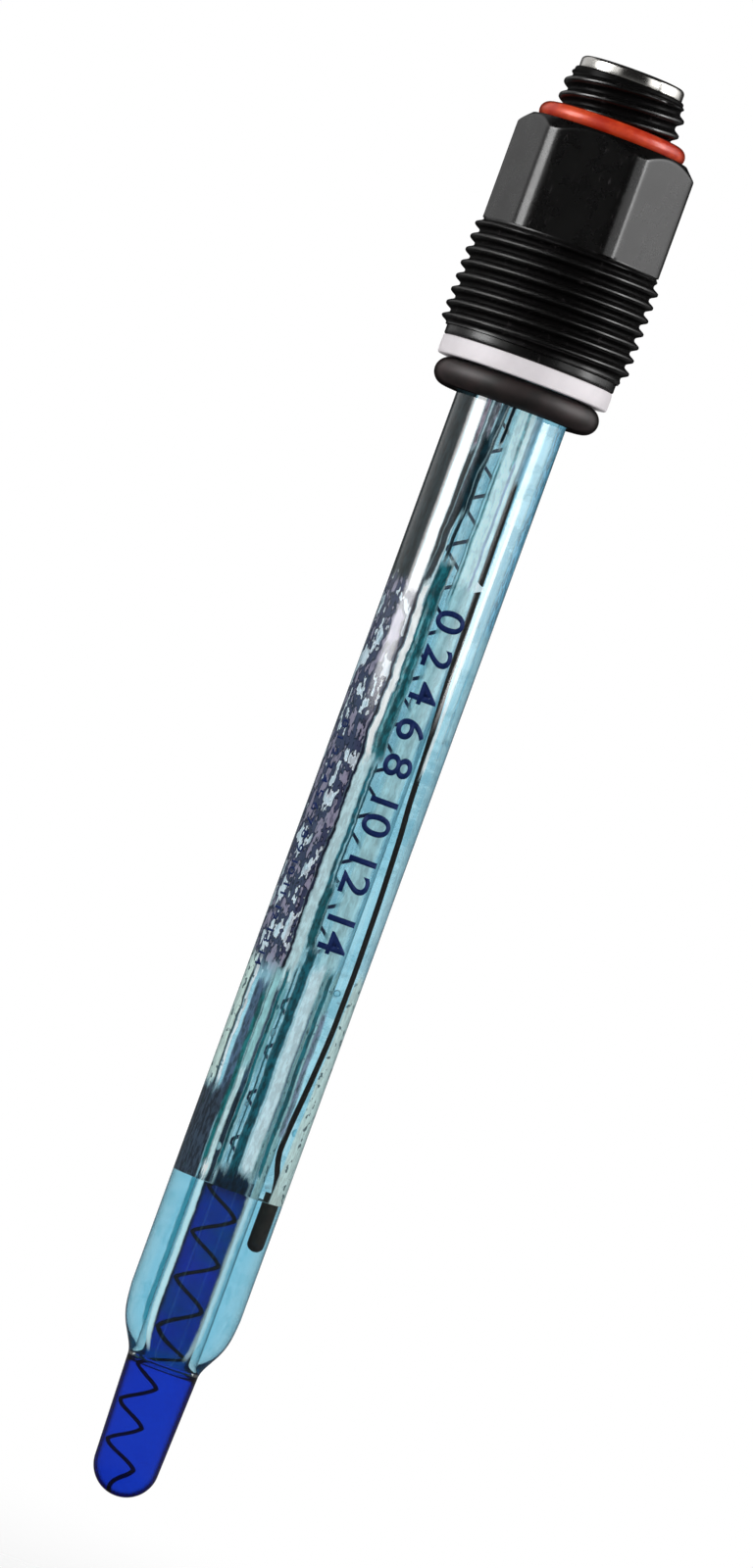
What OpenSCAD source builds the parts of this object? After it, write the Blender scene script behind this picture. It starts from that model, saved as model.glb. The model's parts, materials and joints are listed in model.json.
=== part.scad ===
// Combination glass pH electrode: 12 mm glass shaft with a pH-sensitive bulb at its lower end,
// a plug head with a panel-gland thread, and a screw-on coaxial cable connector on top.
// The origin lies on the axis, at the lower end of the gland thread, and +Z points to the connector.

/* [Glass shaft] */
// Outside diameter of the glass shaft
shaft_d = 12; // [11.8:0.1:12.2]
// Wall of the glass shaft
shaft_wall = 1; // [0.8:0.1:1.1]
// Length from the origin down to the start of the shoulder
straight_len = 105.3; // [60:0.1:320]
// Length of the tapering shoulder
shoulder_len = 7; // [6:0.1:9]
// Wall of the shoulder where it meets the bulb
foot_wall = 0.5; // [0.4:0.05:0.6]
// Depth of the shaft inside the plug head, above the origin
shaft_insert = 8; // [6:0.1:9]
// Diameter of the two junction apertures in the shoulder
aperture_d = 1; // [0.6:0.1:1.1]

/* [Membrane bulb] */
// Length of the bulb below the shoulder
bulb_len = 14.4; // [12:0.1:18]
// Outside diameter of the bulb at the shoulder
bulb_top_d = 7.7; // [7.5:0.1:8.2]
// Outside diameter of the bulb's round end
bulb_end_d = 6.9; // [6.4:0.1:7.2]
// Wall of the bulb
bulb_wall = 0.5; // [0.4:0.05:0.6]

/* [Inner electrode] */
// Outside diameter of the inner glass tube
inner_tube_d = 5; // [4.8:0.1:5.2]
// Wall of the inner glass tube
inner_tube_wall = 0.85; // [0.75:0.05:0.9]
// Height of the inner tube above the top of the shaft glass
inner_tube_rise = 4; // [3.5:0.1:5]
// Height of the blue buffer above the shoulder's foot
buffer_rise = 20.9; // [10:0.1:60]
// Diameter of the electrode wire
wire_d = 0.3; // [0.2:0.05:0.35]
// Rise of the wire spiral in one turn, in the inner tube
coil_pitch = 5; // [4:0.1:6]
// Rise of the wire spiral in one turn, in the bulb
bulb_coil_pitch = 4.4; // [4:0.1:5]
// Diameter of the spiral in the bulb, at the wire's centre line
bulb_coil_d = 2.4; // [2:0.1:2.8]
// Sideways lean of the spiral in the bulb
coil_lean = 1.05; // [0:0.05:1.1]
// Height of the spiral's left turn above the shoulder's foot
coil_turn_rise = 4.2; // [3:0.1:5]
// Depth of the stopper in the inner tube
stopper_depth = 3; // [2:0.1:4]
// Thickness of the stopper's flange
stopper_flange = 0.8; // [0.5:0.1:1.2]

/* [Reference system] */
// Height of the clear lower gel above the shoulder's foot
lower_gel_rise = 19.6; // [12:0.1:40]
// Diameter of the reference lead
lead_d = 0.3; // [0.2:0.05:0.4]
// Diameter of the bead on the reference lead
bead_d = 1.2; // [1:0.1:1.6]
// Outside diameter of the reference cartridge
cartridge_d = 1.6; // [1.5:0.1:2.1]
// Bore of the reference cartridge
cartridge_bore = 1; // [0.9:0.1:1.1]
// Length of the cartridge's glass sleeve
cartridge_len = 5.4; // [4:0.1:8]
// Height by which the cartridge stands above the lower gel
cartridge_rise = 1; // [0.2:0.1:1.2]
// Depth of the porous plug in the cartridge
cartridge_plug_depth = 1.2; // [0.8:0.1:2]
// Thickness of the rubber seal above the gel
seal_thickness = 5; // [3:0.1:6]

/* [Plug head] */
// Outside diameter of the neck below the thread
neck_d = 18.6; // [18:0.1:19]
// Length of the neck below the origin
neck_len = 1.9; // [1.5:0.1:3]
// Major diameter of the gland thread
gland_thread_d = 20.4; // [20.2:0.1:20.6]
// Depth of the gland thread
gland_thread_depth = 0.67; // [0.6:0.01:0.7]
// Pitch of the gland thread
gland_thread_pitch = 1.411; // [1.38:0.001:1.5]
// Number of crests of the gland thread
gland_thread_crests = 8; // [6:1:9]
// Width of the flat on each thread crest
crest_land = 0.2; // [0.1:0.05:0.25]
// Plain length between the gland thread and the hexagon
thread_relief = 0.16; // [0.1:0.01:0.5]
// Hexagon width across flats
hex_af = 17.5; // [16.5:0.1:18]
// Diameter to which the hexagon's corners are turned
hex_corner_d = 19.4; // [18.8:0.1:19.6]
// Length of the hexagon
hex_len = 11.9; // [11.5:0.1:14]
// Length of the chamfer on top of the hexagon
hex_chamfer = 1.2; // [1:0.1:1.5]
// Turn of the hexagon about the axis, in degrees
hex_turn = -7.5; // [-30:0.5:30]
// Bore of the cavity above the shaft glass
cavity_d = 8.6; // [8.4:0.1:8.8]
// Thickness of the potting above the shaft glass
potting_len = 6.5; // [6:0.1:6.8]

/* [Cable connector] */
// Outside diameter of the connector spigot
spigot_d = 11.9; // [11.7:0.1:12.1]
// Length of the spigot above the hexagon
spigot_len = 6.1; // [5.5:0.1:8]
// Major diameter of the cable thread
cable_thread_d = 13.2; // [13:0.1:13.4]
// Pitch of the cable thread
cable_thread_pitch = 1.6; // [1.5:0.1:1.8]
// Width of the flat on each cable thread crest
cable_crest_land = 0.3; // [0.2:0.05:0.4]
// Height of the upper cable thread crest below the spigot's end
cable_crest_drop = 1.8; // [1.2:0.1:1.9]
// Outside diameter of the contact ring's rim
rim_d = 11.3; // [10.8:0.1:11.6]
// Height of the contact ring's rim
rim_height = 1.3; // [0.8:0.1:1.6]
// Radius on the rim's upper edge
rim_round = 0.5; // [0.2:0.1:0.6]
// Outside diameter of the contact ring's sleeve
sleeve_d = 10.2; // [10:0.1:10.4]
// Bore of the contact ring, which is the plug socket
socket_d = 9; // [8.8:0.1:9.2]
// Depth of the plug socket
socket_depth = 5; // [4:0.1:6]
// Diameter of the wider bore below the socket, which seats the insulator
insulator_d = 9.4; // [9.3:0.1:9.6]
// Thickness of the insulator in the socket's floor
insulator_len = 5.1; // [4.5:0.1:6]
// Outside diameter of the centre contact's barrel
contact_d = 3.2; // [2.8:0.1:3.6]
// Bore of the centre contact
contact_bore = 2; // [1.6:0.1:2.2]
// Depth of the centre contact's bore
contact_bore_depth = 4; // [3:0.1:4.4]
// Diameter of the centre contact's flange
contact_flange_d = 4.4; // [4:0.1:5]
// Thickness of the centre contact's flange
contact_flange = 0.8; // [0.5:0.1:1]
// Outside diameter of the centre contact's solder tail
tail_d = 1.8; // [1.6:0.1:2.2]
// Length of the centre contact's solder tail
tail_len = 2; // [1.6:0.1:2.4]
// Bore of the solder cup in the tail
cup_bore = 1; // [0.8:0.1:1.2]
// Depth of the solder cup
cup_depth = 1.5; // [1:0.1:1.6]

/* [Seals and collar] */
// Width of the thrust collar from its bore to its outside
collar_width = 3.24; // [2.4:0.01:3.4]
// Thickness of the thrust collar
collar_thickness = 2; // [1.5:0.1:3]
// Cord thickness of the O-ring on the shaft
shaft_ring_cord = 3; // [2.5:0.1:3.5]
// Cord thickness of the O-ring on the connector
connector_ring_cord = 2.04; // [1.8:0.01:2.1]
// Depth of the connector O-ring's seat in the top of the hexagon
ring_seat_depth = 0.35; // [0.2:0.05:0.5]

/* [Fits] */
// Radial clearance between the thrust collar and the shaft
running_gap = 0.06; // [0.03:0.01:0.1]
// End play of the thrust collar on each side
end_play = 0.05; // [0.03:0.01:0.1]
// Clearance between pieces that are pushed or glued together
seat_gap = 0.02; // [0.01:0.01:0.03]
// Clearance between a filling and what it is cast against
cast_gap = 0.03; // [0.02:0.01:0.05]

/* [Hidden] */
$fn = 96;
// Cuts run past the faces that they open by this much
over = 1;

shaft_r = shaft_d / 2;
shaft_bore_r = shaft_r - shaft_wall;
bulb_top_r = bulb_top_d / 2;
bulb_end_r = bulb_end_d / 2;
inner_tube_r = inner_tube_d / 2;
inner_bore_r = inner_tube_r - inner_tube_wall;
wire_r = wire_d / 2;
lead_r = lead_d / 2;
cartridge_r = cartridge_d / 2;
cavity_r = cavity_d / 2;

foot_z = -straight_len - shoulder_len;
tip_z = foot_z - bulb_len;
bulb_centre_z = tip_z + bulb_end_r;
tube_top_z = shaft_insert;
seal_z = tube_top_z - seal_thickness;
inner_top_z = tube_top_z + inner_tube_rise;
buffer_top_z = foot_z + buffer_rise;
gel_line_z = foot_z + lower_gel_rise;
potting_top_z = tube_top_z + potting_len;

// The shoulder is a light taper blended with a half-cosine step that comes late
shoulder_taper = 0.25;
shoulder_ease = 1.8;
shoulder_steps = 16;
// The apertures lie at this share of the shoulder, and the gel reaches down to the next
aperture_share = 0.68;
gel_share = 0.9;
gel_steps = 14;
function shoulder_step(t) = (1 - cos(180 * pow(t, shoulder_ease))) / 2;
function shoulder_drop(t) = shoulder_taper * t + (1 - shoulder_taper) * shoulder_step(t);
function shoulder_r(t) = shaft_r - (shaft_r - bulb_top_r) * shoulder_drop(t);
function shoulder_bore_r(t) = shoulder_r(t) - shaft_wall * (1 - t) - foot_wall * t;
function shoulder_z(t) = -straight_len - shoulder_len * t;

// The inner tube's lower end is flared until it meets the shoulder's foot
flare_len = 1.6;
flare_steps = 6;
flare_wall = 0.5;
flare_end_r = bulb_top_r - foot_wall - cast_gap;
flare_bore_r = flare_end_r - flare_wall;
function flare_out(t) = inner_tube_r + (flare_end_r - inner_tube_r) * t * t;
function flare_in(t) = inner_bore_r + (flare_bore_r - inner_bore_r) * t * t;
function flare_z(t) = foot_z + flare_len * (1 - t);

// The bulb's wall thins from the fused rim to its own wall over this length
rim_blend = 1;

// Gland thread: crest lands at the major diameter, flanks at 40 degrees to the cross plane's normal
gland_crest_r = gland_thread_d / 2;
gland_root_r = gland_crest_r - gland_thread_depth;
gland_flank = gland_thread_depth * tan(40);
gland_thread_end = (gland_thread_crests - 1) * gland_thread_pitch + crest_land;
hex_low_z = gland_thread_end + gland_flank + thread_relief;
hex_top_z = hex_low_z + hex_len;

// Seat of the connector's O-ring: it is a little narrower than the ring, which bulges over its rim
ring_seat_inset = 0.14;
ring_seat_r = spigot_d / 2 + connector_ring_cord - ring_seat_inset;
ring_seat_z = hex_top_z - ring_seat_depth;

// The collar has end play between the neck and the O-ring
collar_bore_r = shaft_r + running_gap;
collar_r = collar_bore_r + collar_width;
collar_low_z = -neck_len - end_play - collar_thickness;

// Connector heights
spigot_r = spigot_d / 2;
spigot_top_z = hex_top_z + spigot_len;
connector_top_z = spigot_top_z + rim_height;
socket_floor_z = connector_top_z - socket_depth;
ledge_z = socket_floor_z - insulator_len;
sleeve_r = sleeve_d / 2;
socket_r = socket_d / 2;
contact_r = contact_d / 2;
flange_low_z = ledge_z - contact_flange;
tail_end_z = flange_low_z - tail_len;
cable_crest_r = cable_thread_d / 2;
cable_flank = (cable_crest_r - spigot_r) * tan(30);
cable_crests = 2;
cable_last_low = spigot_top_z - cable_crest_drop - cable_crest_land / 2;
cable_first_low = cable_last_low - (cable_crests - 1) * cable_thread_pitch;

// Reference cartridge: its place in the gel, the dome of its plug and the drop of its filling
cartridge_angle = -4;
cartridge_top_z = gel_line_z + cartridge_rise;
cartridge_low_z = cartridge_top_z - cartridge_len;
cartridge_dome = 0.9;
fill_drop = 0.3;
fill_top_z = cartridge_top_z - fill_drop;

// Reference lead: it is soldered to the contact ring in a slot of the head, and runs down between the tubes
lead_track_r = (shaft_bore_r + inner_tube_r) / 2;
lead_angle = -40;
lead_end_gap = 0.1;
lead_end_r = (insulator_d + sleeve_d) / 4 - lead_end_gap;
lead_end_z = ledge_z - lead_end_gap;
lead_fill_depth = 0.8;
lead_low_z = fill_top_z - lead_fill_depth;
lead_bend_len = 2.4;
lead_slot_clearance = 0.15;
lead_slot_r = sleeve_r + lead_slot_clearance;
lead_slot_w = 1;
lead_slot_len = 4.4;
solder_r = 0.35;
solder_len = 0.6;
bead_angle = -47;
bead_share = 0.3;
// Its bends between the seal and the cartridge, each as an angle and a share of the way down
lead_bends = [
    [-50, 0.17], [bead_angle, bead_share], [-35, 0.48], [-26, 0.66], [-26, 0.77], [-35, 0.88], [-40, 0.95]
];
function polar(angle, r, z) = [r * cos(angle), r * sin(angle), z];
function lead_height(share) = seal_z + share * (gel_line_z - seal_z);
bead_z = lead_height(bead_share);
lead_path = [
    polar(lead_angle, lead_end_r, lead_end_z),
    polar(lead_angle, lead_end_r, potting_top_z + lead_bend_len + over),
    polar(lead_angle, lead_track_r, potting_top_z + over / 2),
    polar(lead_angle, lead_track_r, seal_z - over),
    for (bend = lead_bends) polar(bend[0], lead_track_r, lead_height(bend[1])),
    polar(cartridge_angle, lead_track_r, cartridge_top_z + over),
    polar(cartridge_angle, lead_track_r, lead_low_z)
];

// Electrode wire: a right-hand spiral from the bulb up the inner tube, then straight to the solder cup
coil_gap = 0.1;
coil_r = inner_bore_r - wire_r - coil_gap;
coil_step = 30;
coil_turn_z = foot_z + coil_turn_rise;
coil_low_z = tip_z + bulb_wall + wire_r + 2 * coil_gap;
coil_top_drop = 4;
coil_top_z = inner_top_z - stopper_depth - coil_top_drop;
coil_low_angle = 180 + 360 * (coil_low_z - coil_turn_z) / bulb_coil_pitch;
coil_top_angle = 180 + 360 * (coil_top_z - coil_turn_z) / coil_pitch;
coil_count = floor((coil_top_angle - coil_low_angle) / coil_step);
wire_end_gap = 0.1;
wire_end_z = tail_end_z + cup_depth - wire_end_gap;
// The spiral leans over in the first length below the foot and comes back in the second above the tip
lean_in = 3;
lean_out = 6;
function ramp(x) = min(1, max(0, x));
function bulb_share(z) = ramp((foot_z - z) / lean_in + 0.5);
function coil_z(a) = coil_turn_z + (a - 180) / 360 * (a < 180 ? bulb_coil_pitch : coil_pitch);
function coil_centre(z) = -coil_lean * bulb_share(z) * ramp((z - tip_z) / lean_out);
function coil_radius(z) = coil_r + (bulb_coil_d / 2 - coil_r) * bulb_share(z);
// Its radius runs in to the axis over the last turn, and at the tip to a share, over two thirds of a turn
coil_tip_share = 0.35;
function coil_end_share(a) =
    min(ramp((coil_top_angle - a) / 360), ramp(coil_tip_share + (a - coil_low_angle) / 240));
function coil_point(a) =
    let (z = coil_z(a), r = coil_radius(z) * coil_end_share(a))
    [coil_centre(z) + r * cos(a), r * sin(a), z];
wire_path = [
    for (i = [0:coil_count - 1]) coil_point(coil_low_angle + i * coil_step),
    [0, 0, coil_top_z + wire_d],
    [0, 0, wire_end_z]
];

// Sweep of a round wire along a path, with the side vector carried from ring to ring
function unit(v) = v / norm(v);
function tangent(path, i) = unit(path[min(i + 1, len(path) - 1)] - path[max(i - 1, 0)]);
function squared(u, t) = unit(u - (u * t) * t);
function side_vectors(path) = [
    for (i = 0, u = squared([0.3, 1, 0.2], tangent(path, 0));
        i < len(path);
        i = i + 1, u = squared(u, tangent(path, min(i, len(path) - 1))))
    u
];
module swept_wire(path, r, sides) {
    sides_at = side_vectors(path);
    points = [
        for (i = [0:len(path) - 1])
        let (u = sides_at[i], v = cross(tangent(path, i), u))
        for (k = [0:sides - 1])
        path[i] + r * (cos(360 * k / sides) * u + sin(360 * k / sides) * v)
    ];
    last = (len(path) - 1) * sides;
    faces = [
        [for (k = [0:sides - 1]) k],
        for (i = [0:len(path) - 2])
        for (k = [0:sides - 1])
        for (half = [0, 1])
        let (a = i * sides + k, b = i * sides + (k + 1) % sides)
        half == 0 ? [a, a + sides, b] : [b, a + sides, b + sides],
        [for (k = [sides - 1:-1:0]) last + k]
    ];
    polyhedron(points, faces);
}

module rod(r, low, high) {
    translate([0, 0, low]) cylinder(r = r, h = high - low);
}

module ring(r_out, r_in, low, high) {
    difference() {
        rod(r_out, low, high);
        rod(r_in, low - over, high + over);
    }
}

// O-ring on a rod: a round cord whose inner side lies flat on the rod
module o_ring(rod_r, cord, low) {
    centre_r = rod_r + cord / 2;
    rotate_extrude()
        intersection() {
            translate([centre_r, low + cord / 2]) circle(d = cord);
            translate([rod_r + seat_gap, low - over]) square([2 * cord, cord + 2 * over]);
        }
}

// Thread as separate grooves: first_low is the lower edge of the first crest's flat
function ridge(root, crest, flank, land, low) =
    [[root, low - flank], [crest, low], [crest, low + land], [root, low + land + flank]];
module threaded_rod(root, crest, flank, land, pitch, count, first_low, low, high) {
    rotate_extrude()
        polygon([
            [0, low],
            [root, low],
            for (i = [0:count - 1]) each ridge(root, crest, flank, land, first_low + i * pitch),
            [root, high],
            [0, high]
        ]);
}

// Hexagon with turned corners, a chamfered top and the O-ring's seat; it starts inside the gland thread's end
module hexagon() {
    corner_r = hex_corner_d / 2;
    intersection() {
        translate([0, 0, hex_low_z - over])
            rotate(hex_turn)
                cylinder(d = hex_af / cos(30), h = hex_len + over, $fn = 6);
        rotate_extrude()
            polygon([
                [0, hex_low_z - over],
                [corner_r, hex_low_z - over],
                [corner_r, hex_top_z - hex_chamfer],
                [corner_r - hex_chamfer, hex_top_z],
                [ring_seat_r, hex_top_z],
                [ring_seat_r, ring_seat_z],
                [0, ring_seat_z]
            ]);
    }
}

module lead_slot() {
    rotate(lead_angle)
        translate([0, -lead_slot_w / 2, ledge_z - lead_slot_len])
            cube([lead_slot_r, lead_slot_w, lead_slot_len]);
}

module plug_head() {
    color([0.06, 0.06, 0.065])
        difference() {
            union() {
                rod(neck_d / 2, -neck_len, over);
                threaded_rod(gland_root_r, gland_crest_r, gland_flank, crest_land, gland_thread_pitch,
                    gland_thread_crests, 0, -gland_flank, hex_low_z);
                hexagon();
                threaded_rod(spigot_r, cable_crest_r, cable_flank, cable_crest_land, cable_thread_pitch,
                    cable_crests, cable_first_low, ring_seat_z - over, spigot_top_z);
            }
            rod(shaft_r + seat_gap, -neck_len - over, tube_top_z);
            rod(cavity_r, tube_top_z - over, ledge_z + over);
            rod(sleeve_r + seat_gap, ledge_z, spigot_top_z + over);
            lead_slot();
        }
}

module shield_contact_ring() {
    rim_flat_r = rim_d / 2 - rim_round;
    color([0.8, 0.79, 0.76])
        difference() {
            union() {
                rod(sleeve_r, ledge_z, spigot_top_z);
                rod(rim_d / 2, spigot_top_z, connector_top_z - rim_round);
                translate([0, 0, connector_top_z - rim_round])
                    rotate_extrude() {
                        square([rim_flat_r, rim_round]);
                        intersection() {
                            translate([rim_flat_r, 0]) circle(r = rim_round);
                            translate([rim_flat_r, 0]) square(rim_round);
                        }
                    }
            }
            rod(socket_r, ledge_z - over, connector_top_z + over);
            rod(insulator_d / 2, ledge_z - over, socket_floor_z);
        }
}

module contact_insulator() {
    color([0.9, 0.9, 0.86])
        ring(insulator_d / 2 - seat_gap, contact_r + seat_gap, ledge_z, socket_floor_z);
}

module centre_contact() {
    color([0.83, 0.66, 0.3])
        difference() {
            union() {
                rod(contact_r, ledge_z, socket_floor_z);
                rod(contact_flange_d / 2, flange_low_z, ledge_z);
                rod(tail_d / 2, tail_end_z, flange_low_z);
            }
            rod(contact_bore / 2, socket_floor_z - contact_bore_depth, socket_floor_z + over);
            rod(cup_bore / 2, tail_end_z - over, tail_end_z + cup_depth);
        }
}

module connector_o_ring() {
    color([0.86, 0.24, 0.11]) o_ring(spigot_r, connector_ring_cord, ring_seat_z);
}

module thrust_collar() {
    color([0.86, 0.86, 0.86])
        ring(collar_r, collar_bore_r, collar_low_z, -neck_len - end_play);
}

module shaft_o_ring() {
    color([0.12, 0.1, 0.09])
        o_ring(shaft_r, shaft_ring_cord, collar_low_z - end_play - shaft_ring_cord);
}

module head_potting() {
    color([0.2, 0.18, 0.16])
        difference() {
            rod(cavity_r - seat_gap, tube_top_z, potting_top_z);
            rod(inner_tube_r + seat_gap, tube_top_z - over, inner_top_z + stopper_flange + seat_gap);
            rod(wire_r + seat_gap, tube_top_z, potting_top_z + over);
            lead_hole(tube_top_z - over, potting_top_z + over);
        }
}

module lead_hole(low, high) {
    translate(polar(lead_angle, lead_track_r, 0)) rod(lead_r + seat_gap, low, high);
}

module shaft_tube() {
    color([0.8, 0.92, 0.95, 0.35])
        difference() {
            rotate_extrude()
                polygon([
                    [shaft_bore_r, tube_top_z],
                    for (i = [0:shoulder_steps])
                    let (t = i / shoulder_steps)
                    [shoulder_bore_r(t), shoulder_z(t)],
                    for (i = [shoulder_steps:-1:0])
                    let (t = i / shoulder_steps)
                    [shoulder_r(t), shoulder_z(t)],
                    [shaft_r, tube_top_z]
                ]);
            translate([0, 0, shoulder_z(aperture_share)])
                rotate([0, 90, 0])
                    cylinder(d = aperture_d, h = 2 * (shaft_r + over), center = true);
        }
}

module gel_seal() {
    color([0.75, 0.35, 0.2])
        difference() {
            ring(shaft_bore_r - seat_gap, inner_tube_r + seat_gap, seal_z, tube_top_z);
            lead_hole(seal_z - over, tube_top_z + over);
        }
}

module inner_tube() {
    color([0.82, 0.92, 0.95, 0.35])
        rotate_extrude()
            polygon([
                [inner_bore_r, inner_top_z],
                for (i = [0:flare_steps])
                let (t = i / flare_steps)
                [flare_in(t), flare_z(t)],
                for (i = [flare_steps:-1:0])
                let (t = i / flare_steps)
                [flare_out(t), flare_z(t)],
                [inner_tube_r, inner_top_z]
            ]);
}

module inner_tube_stopper() {
    color([0.85, 0.85, 0.8])
        difference() {
            union() {
                rod(inner_bore_r - seat_gap, inner_top_z - stopper_depth, inner_top_z);
                rod(inner_tube_r, inner_top_z, inner_top_z + stopper_flange);
            }
            rod(wire_r + seat_gap, inner_top_z - stopper_depth - over, inner_top_z + stopper_flange + over);
        }
}

// Outline of the bulb's inside, from the fused rim to the round end, set in by a gap
bulb_arc_steps = 12;
function bulb_inside(gap) = [
    [flare_bore_r - gap, foot_z],
    [bulb_top_r - bulb_wall - gap, foot_z - rim_blend],
    for (i = [0:bulb_arc_steps - 1])
    let (a = 90 * i / bulb_arc_steps, r = bulb_end_r - bulb_wall - gap)
    [r * cos(a), bulb_centre_z - r * sin(a)],
    [0, tip_z + bulb_wall + gap]
];

module membrane_bulb() {
    color([0.35, 0.5, 0.85, 0.35])
        difference() {
            union() {
                translate([0, 0, bulb_centre_z])
                    cylinder(r1 = bulb_end_r, r2 = bulb_top_r, h = foot_z - bulb_centre_z);
                translate([0, 0, bulb_centre_z]) sphere(r = bulb_end_r);
            }
            rotate_extrude() polygon([[0, foot_z], each bulb_inside(0)]);
        }
}

module inner_buffer() {
    color([0.07, 0.16, 0.68, 0.8])
        rotate_extrude()
            polygon([
                [0, buffer_top_z],
                [inner_bore_r - cast_gap, buffer_top_z],
                for (i = [0:flare_steps - 1])
                let (t = i / flare_steps)
                [flare_in(t) - cast_gap, flare_z(t)],
                each bulb_inside(cast_gap)
            ]);
}

module electrode_wire() {
    color([0.1, 0.1, 0.14]) swept_wire(wire_path, wire_r, 6);
}

// Both gels fill the space between the shaft and the inner tube, and leave room for what is cast in
module lower_gel() {
    low_z = shoulder_z(gel_share);
    color([0.5, 0.82, 0.89, 0.6])
        difference() {
            rotate_extrude()
                polygon([
                    [inner_tube_r + cast_gap, gel_line_z],
                    [inner_tube_r + cast_gap, foot_z + flare_len],
                    [flare_out(1 - (low_z - foot_z) / flare_len) + cast_gap, low_z],
                    for (i = [gel_steps:-1:0])
                    let (t = gel_share * i / gel_steps)
                    [shoulder_bore_r(t) - cast_gap, shoulder_z(t)],
                    [shaft_bore_r - cast_gap, gel_line_z]
                ]);
            cartridge_space();
        }
}

module upper_gel() {
    color([0.45, 0.62, 0.72, 0.7])
        difference() {
            ring(shaft_bore_r - cast_gap, inner_tube_r + cast_gap, gel_line_z, seal_z);
            cartridge_space();
            swept_wire(lead_path, lead_r + cast_gap, 8);
            translate(polar(bead_angle, lead_track_r, bead_z)) sphere(d = bead_d + 2 * cast_gap);
        }
}

module cartridge_space() {
    translate(polar(cartridge_angle, lead_track_r, 0))
        rod(cartridge_r + cast_gap, cartridge_low_z - cartridge_dome - cast_gap, cartridge_top_z + cast_gap);
}

module reference_lead() {
    color([0.16, 0.12, 0.1]) swept_wire(lead_path, lead_r, 8);
}

module lead_bead() {
    color([0.95, 0.95, 0.93])
        difference() {
            translate(polar(bead_angle, lead_track_r, bead_z)) sphere(d = bead_d);
            swept_wire(lead_path, lead_r + seat_gap, 8);
        }
}

module cartridge_sleeve() {
    color([0.8, 0.9, 0.92, 0.5])
        translate(polar(cartridge_angle, lead_track_r, 0))
            ring(cartridge_r, cartridge_bore / 2, cartridge_low_z, cartridge_top_z);
}

module cartridge_fill() {
    color([0.18, 0.13, 0.13])
        translate(polar(cartridge_angle, lead_track_r, 0))
            difference() {
                rod(cartridge_bore / 2 - seat_gap, cartridge_low_z + cartridge_plug_depth, fill_top_z);
                rod(lead_r + seat_gap, lead_low_z - seat_gap, fill_top_z + over);
            }
}

module cartridge_plug() {
    color([0.16, 0.13, 0.14])
        translate(polar(cartridge_angle, lead_track_r, cartridge_low_z)) {
            cylinder(d = cartridge_bore - 2 * seat_gap, h = cartridge_plug_depth);
            rotate_extrude()
                intersection() {
                    translate([0, cartridge_r - cartridge_dome]) circle(r = cartridge_r);
                    translate([0, -cartridge_dome]) square([cartridge_r, cartridge_dome]);
                }
        }
}

module signal_solder() {
    color([0.72, 0.72, 0.74])
        difference() {
            rod(cup_bore / 2 - seat_gap, tail_end_z, tail_end_z + cup_depth - seat_gap);
            rod(wire_r + seat_gap, tail_end_z - over, wire_end_z + seat_gap);
        }
}

module shield_solder() {
    color([0.72, 0.72, 0.74])
        translate(polar(lead_angle, lead_end_r, 0))
            difference() {
                rod(solder_r, ledge_z - solder_len, ledge_z);
                rod(lead_r + seat_gap, ledge_z - solder_len - over, lead_end_z + seat_gap);
            }
}

plug_head();
shield_contact_ring();
contact_insulator();
centre_contact();
connector_o_ring();
thrust_collar();
shaft_o_ring();
head_potting();
shaft_tube();
gel_seal();
inner_tube();
inner_tube_stopper();
membrane_bulb();
inner_buffer();
electrode_wire();
lower_gel();
upper_gel();
reference_lead();
lead_bead();
cartridge_sleeve();
cartridge_fill();
cartridge_plug();
signal_solder();
shield_solder();
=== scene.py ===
import json
import math

import bmesh
import bpy
import numpy as np
from mathutils import Matrix, Vector


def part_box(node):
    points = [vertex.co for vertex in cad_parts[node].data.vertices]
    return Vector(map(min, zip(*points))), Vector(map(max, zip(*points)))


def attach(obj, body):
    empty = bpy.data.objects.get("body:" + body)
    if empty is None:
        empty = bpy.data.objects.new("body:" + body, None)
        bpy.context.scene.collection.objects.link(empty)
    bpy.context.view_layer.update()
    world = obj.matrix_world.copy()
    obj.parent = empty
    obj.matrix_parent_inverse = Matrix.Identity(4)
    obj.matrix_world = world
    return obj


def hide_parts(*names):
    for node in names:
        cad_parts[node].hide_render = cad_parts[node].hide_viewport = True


# Looks of a glass pH electrode. Shapes are worked out in millimetres and put into metres when a mesh is made.
# The front of the object faces -Y, so an angle of 0 degrees is the front, -90 the left and 90 the right.
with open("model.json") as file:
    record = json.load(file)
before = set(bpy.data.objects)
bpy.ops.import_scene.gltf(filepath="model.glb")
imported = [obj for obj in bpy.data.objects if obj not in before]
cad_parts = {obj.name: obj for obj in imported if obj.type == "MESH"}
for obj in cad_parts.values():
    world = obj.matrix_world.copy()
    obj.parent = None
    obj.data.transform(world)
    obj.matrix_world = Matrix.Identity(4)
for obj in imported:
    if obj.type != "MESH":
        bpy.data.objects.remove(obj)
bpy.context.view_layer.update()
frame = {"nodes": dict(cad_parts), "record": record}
cadNodes = frame["nodes"]
metresPerMm = 0.001
arcPoints = 6        # along each rounded edge
ringColumns = 192    # round each of the smaller turned pieces
print("frame loaded:", len(cadNodes), "solids")


def lowEdge(node, axis):
    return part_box(node)[0][axis] / metresPerMm


def highEdge(node, axis):
    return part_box(node)[1][axis] / metresPerMm


# Meshes from grids and outlines

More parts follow.
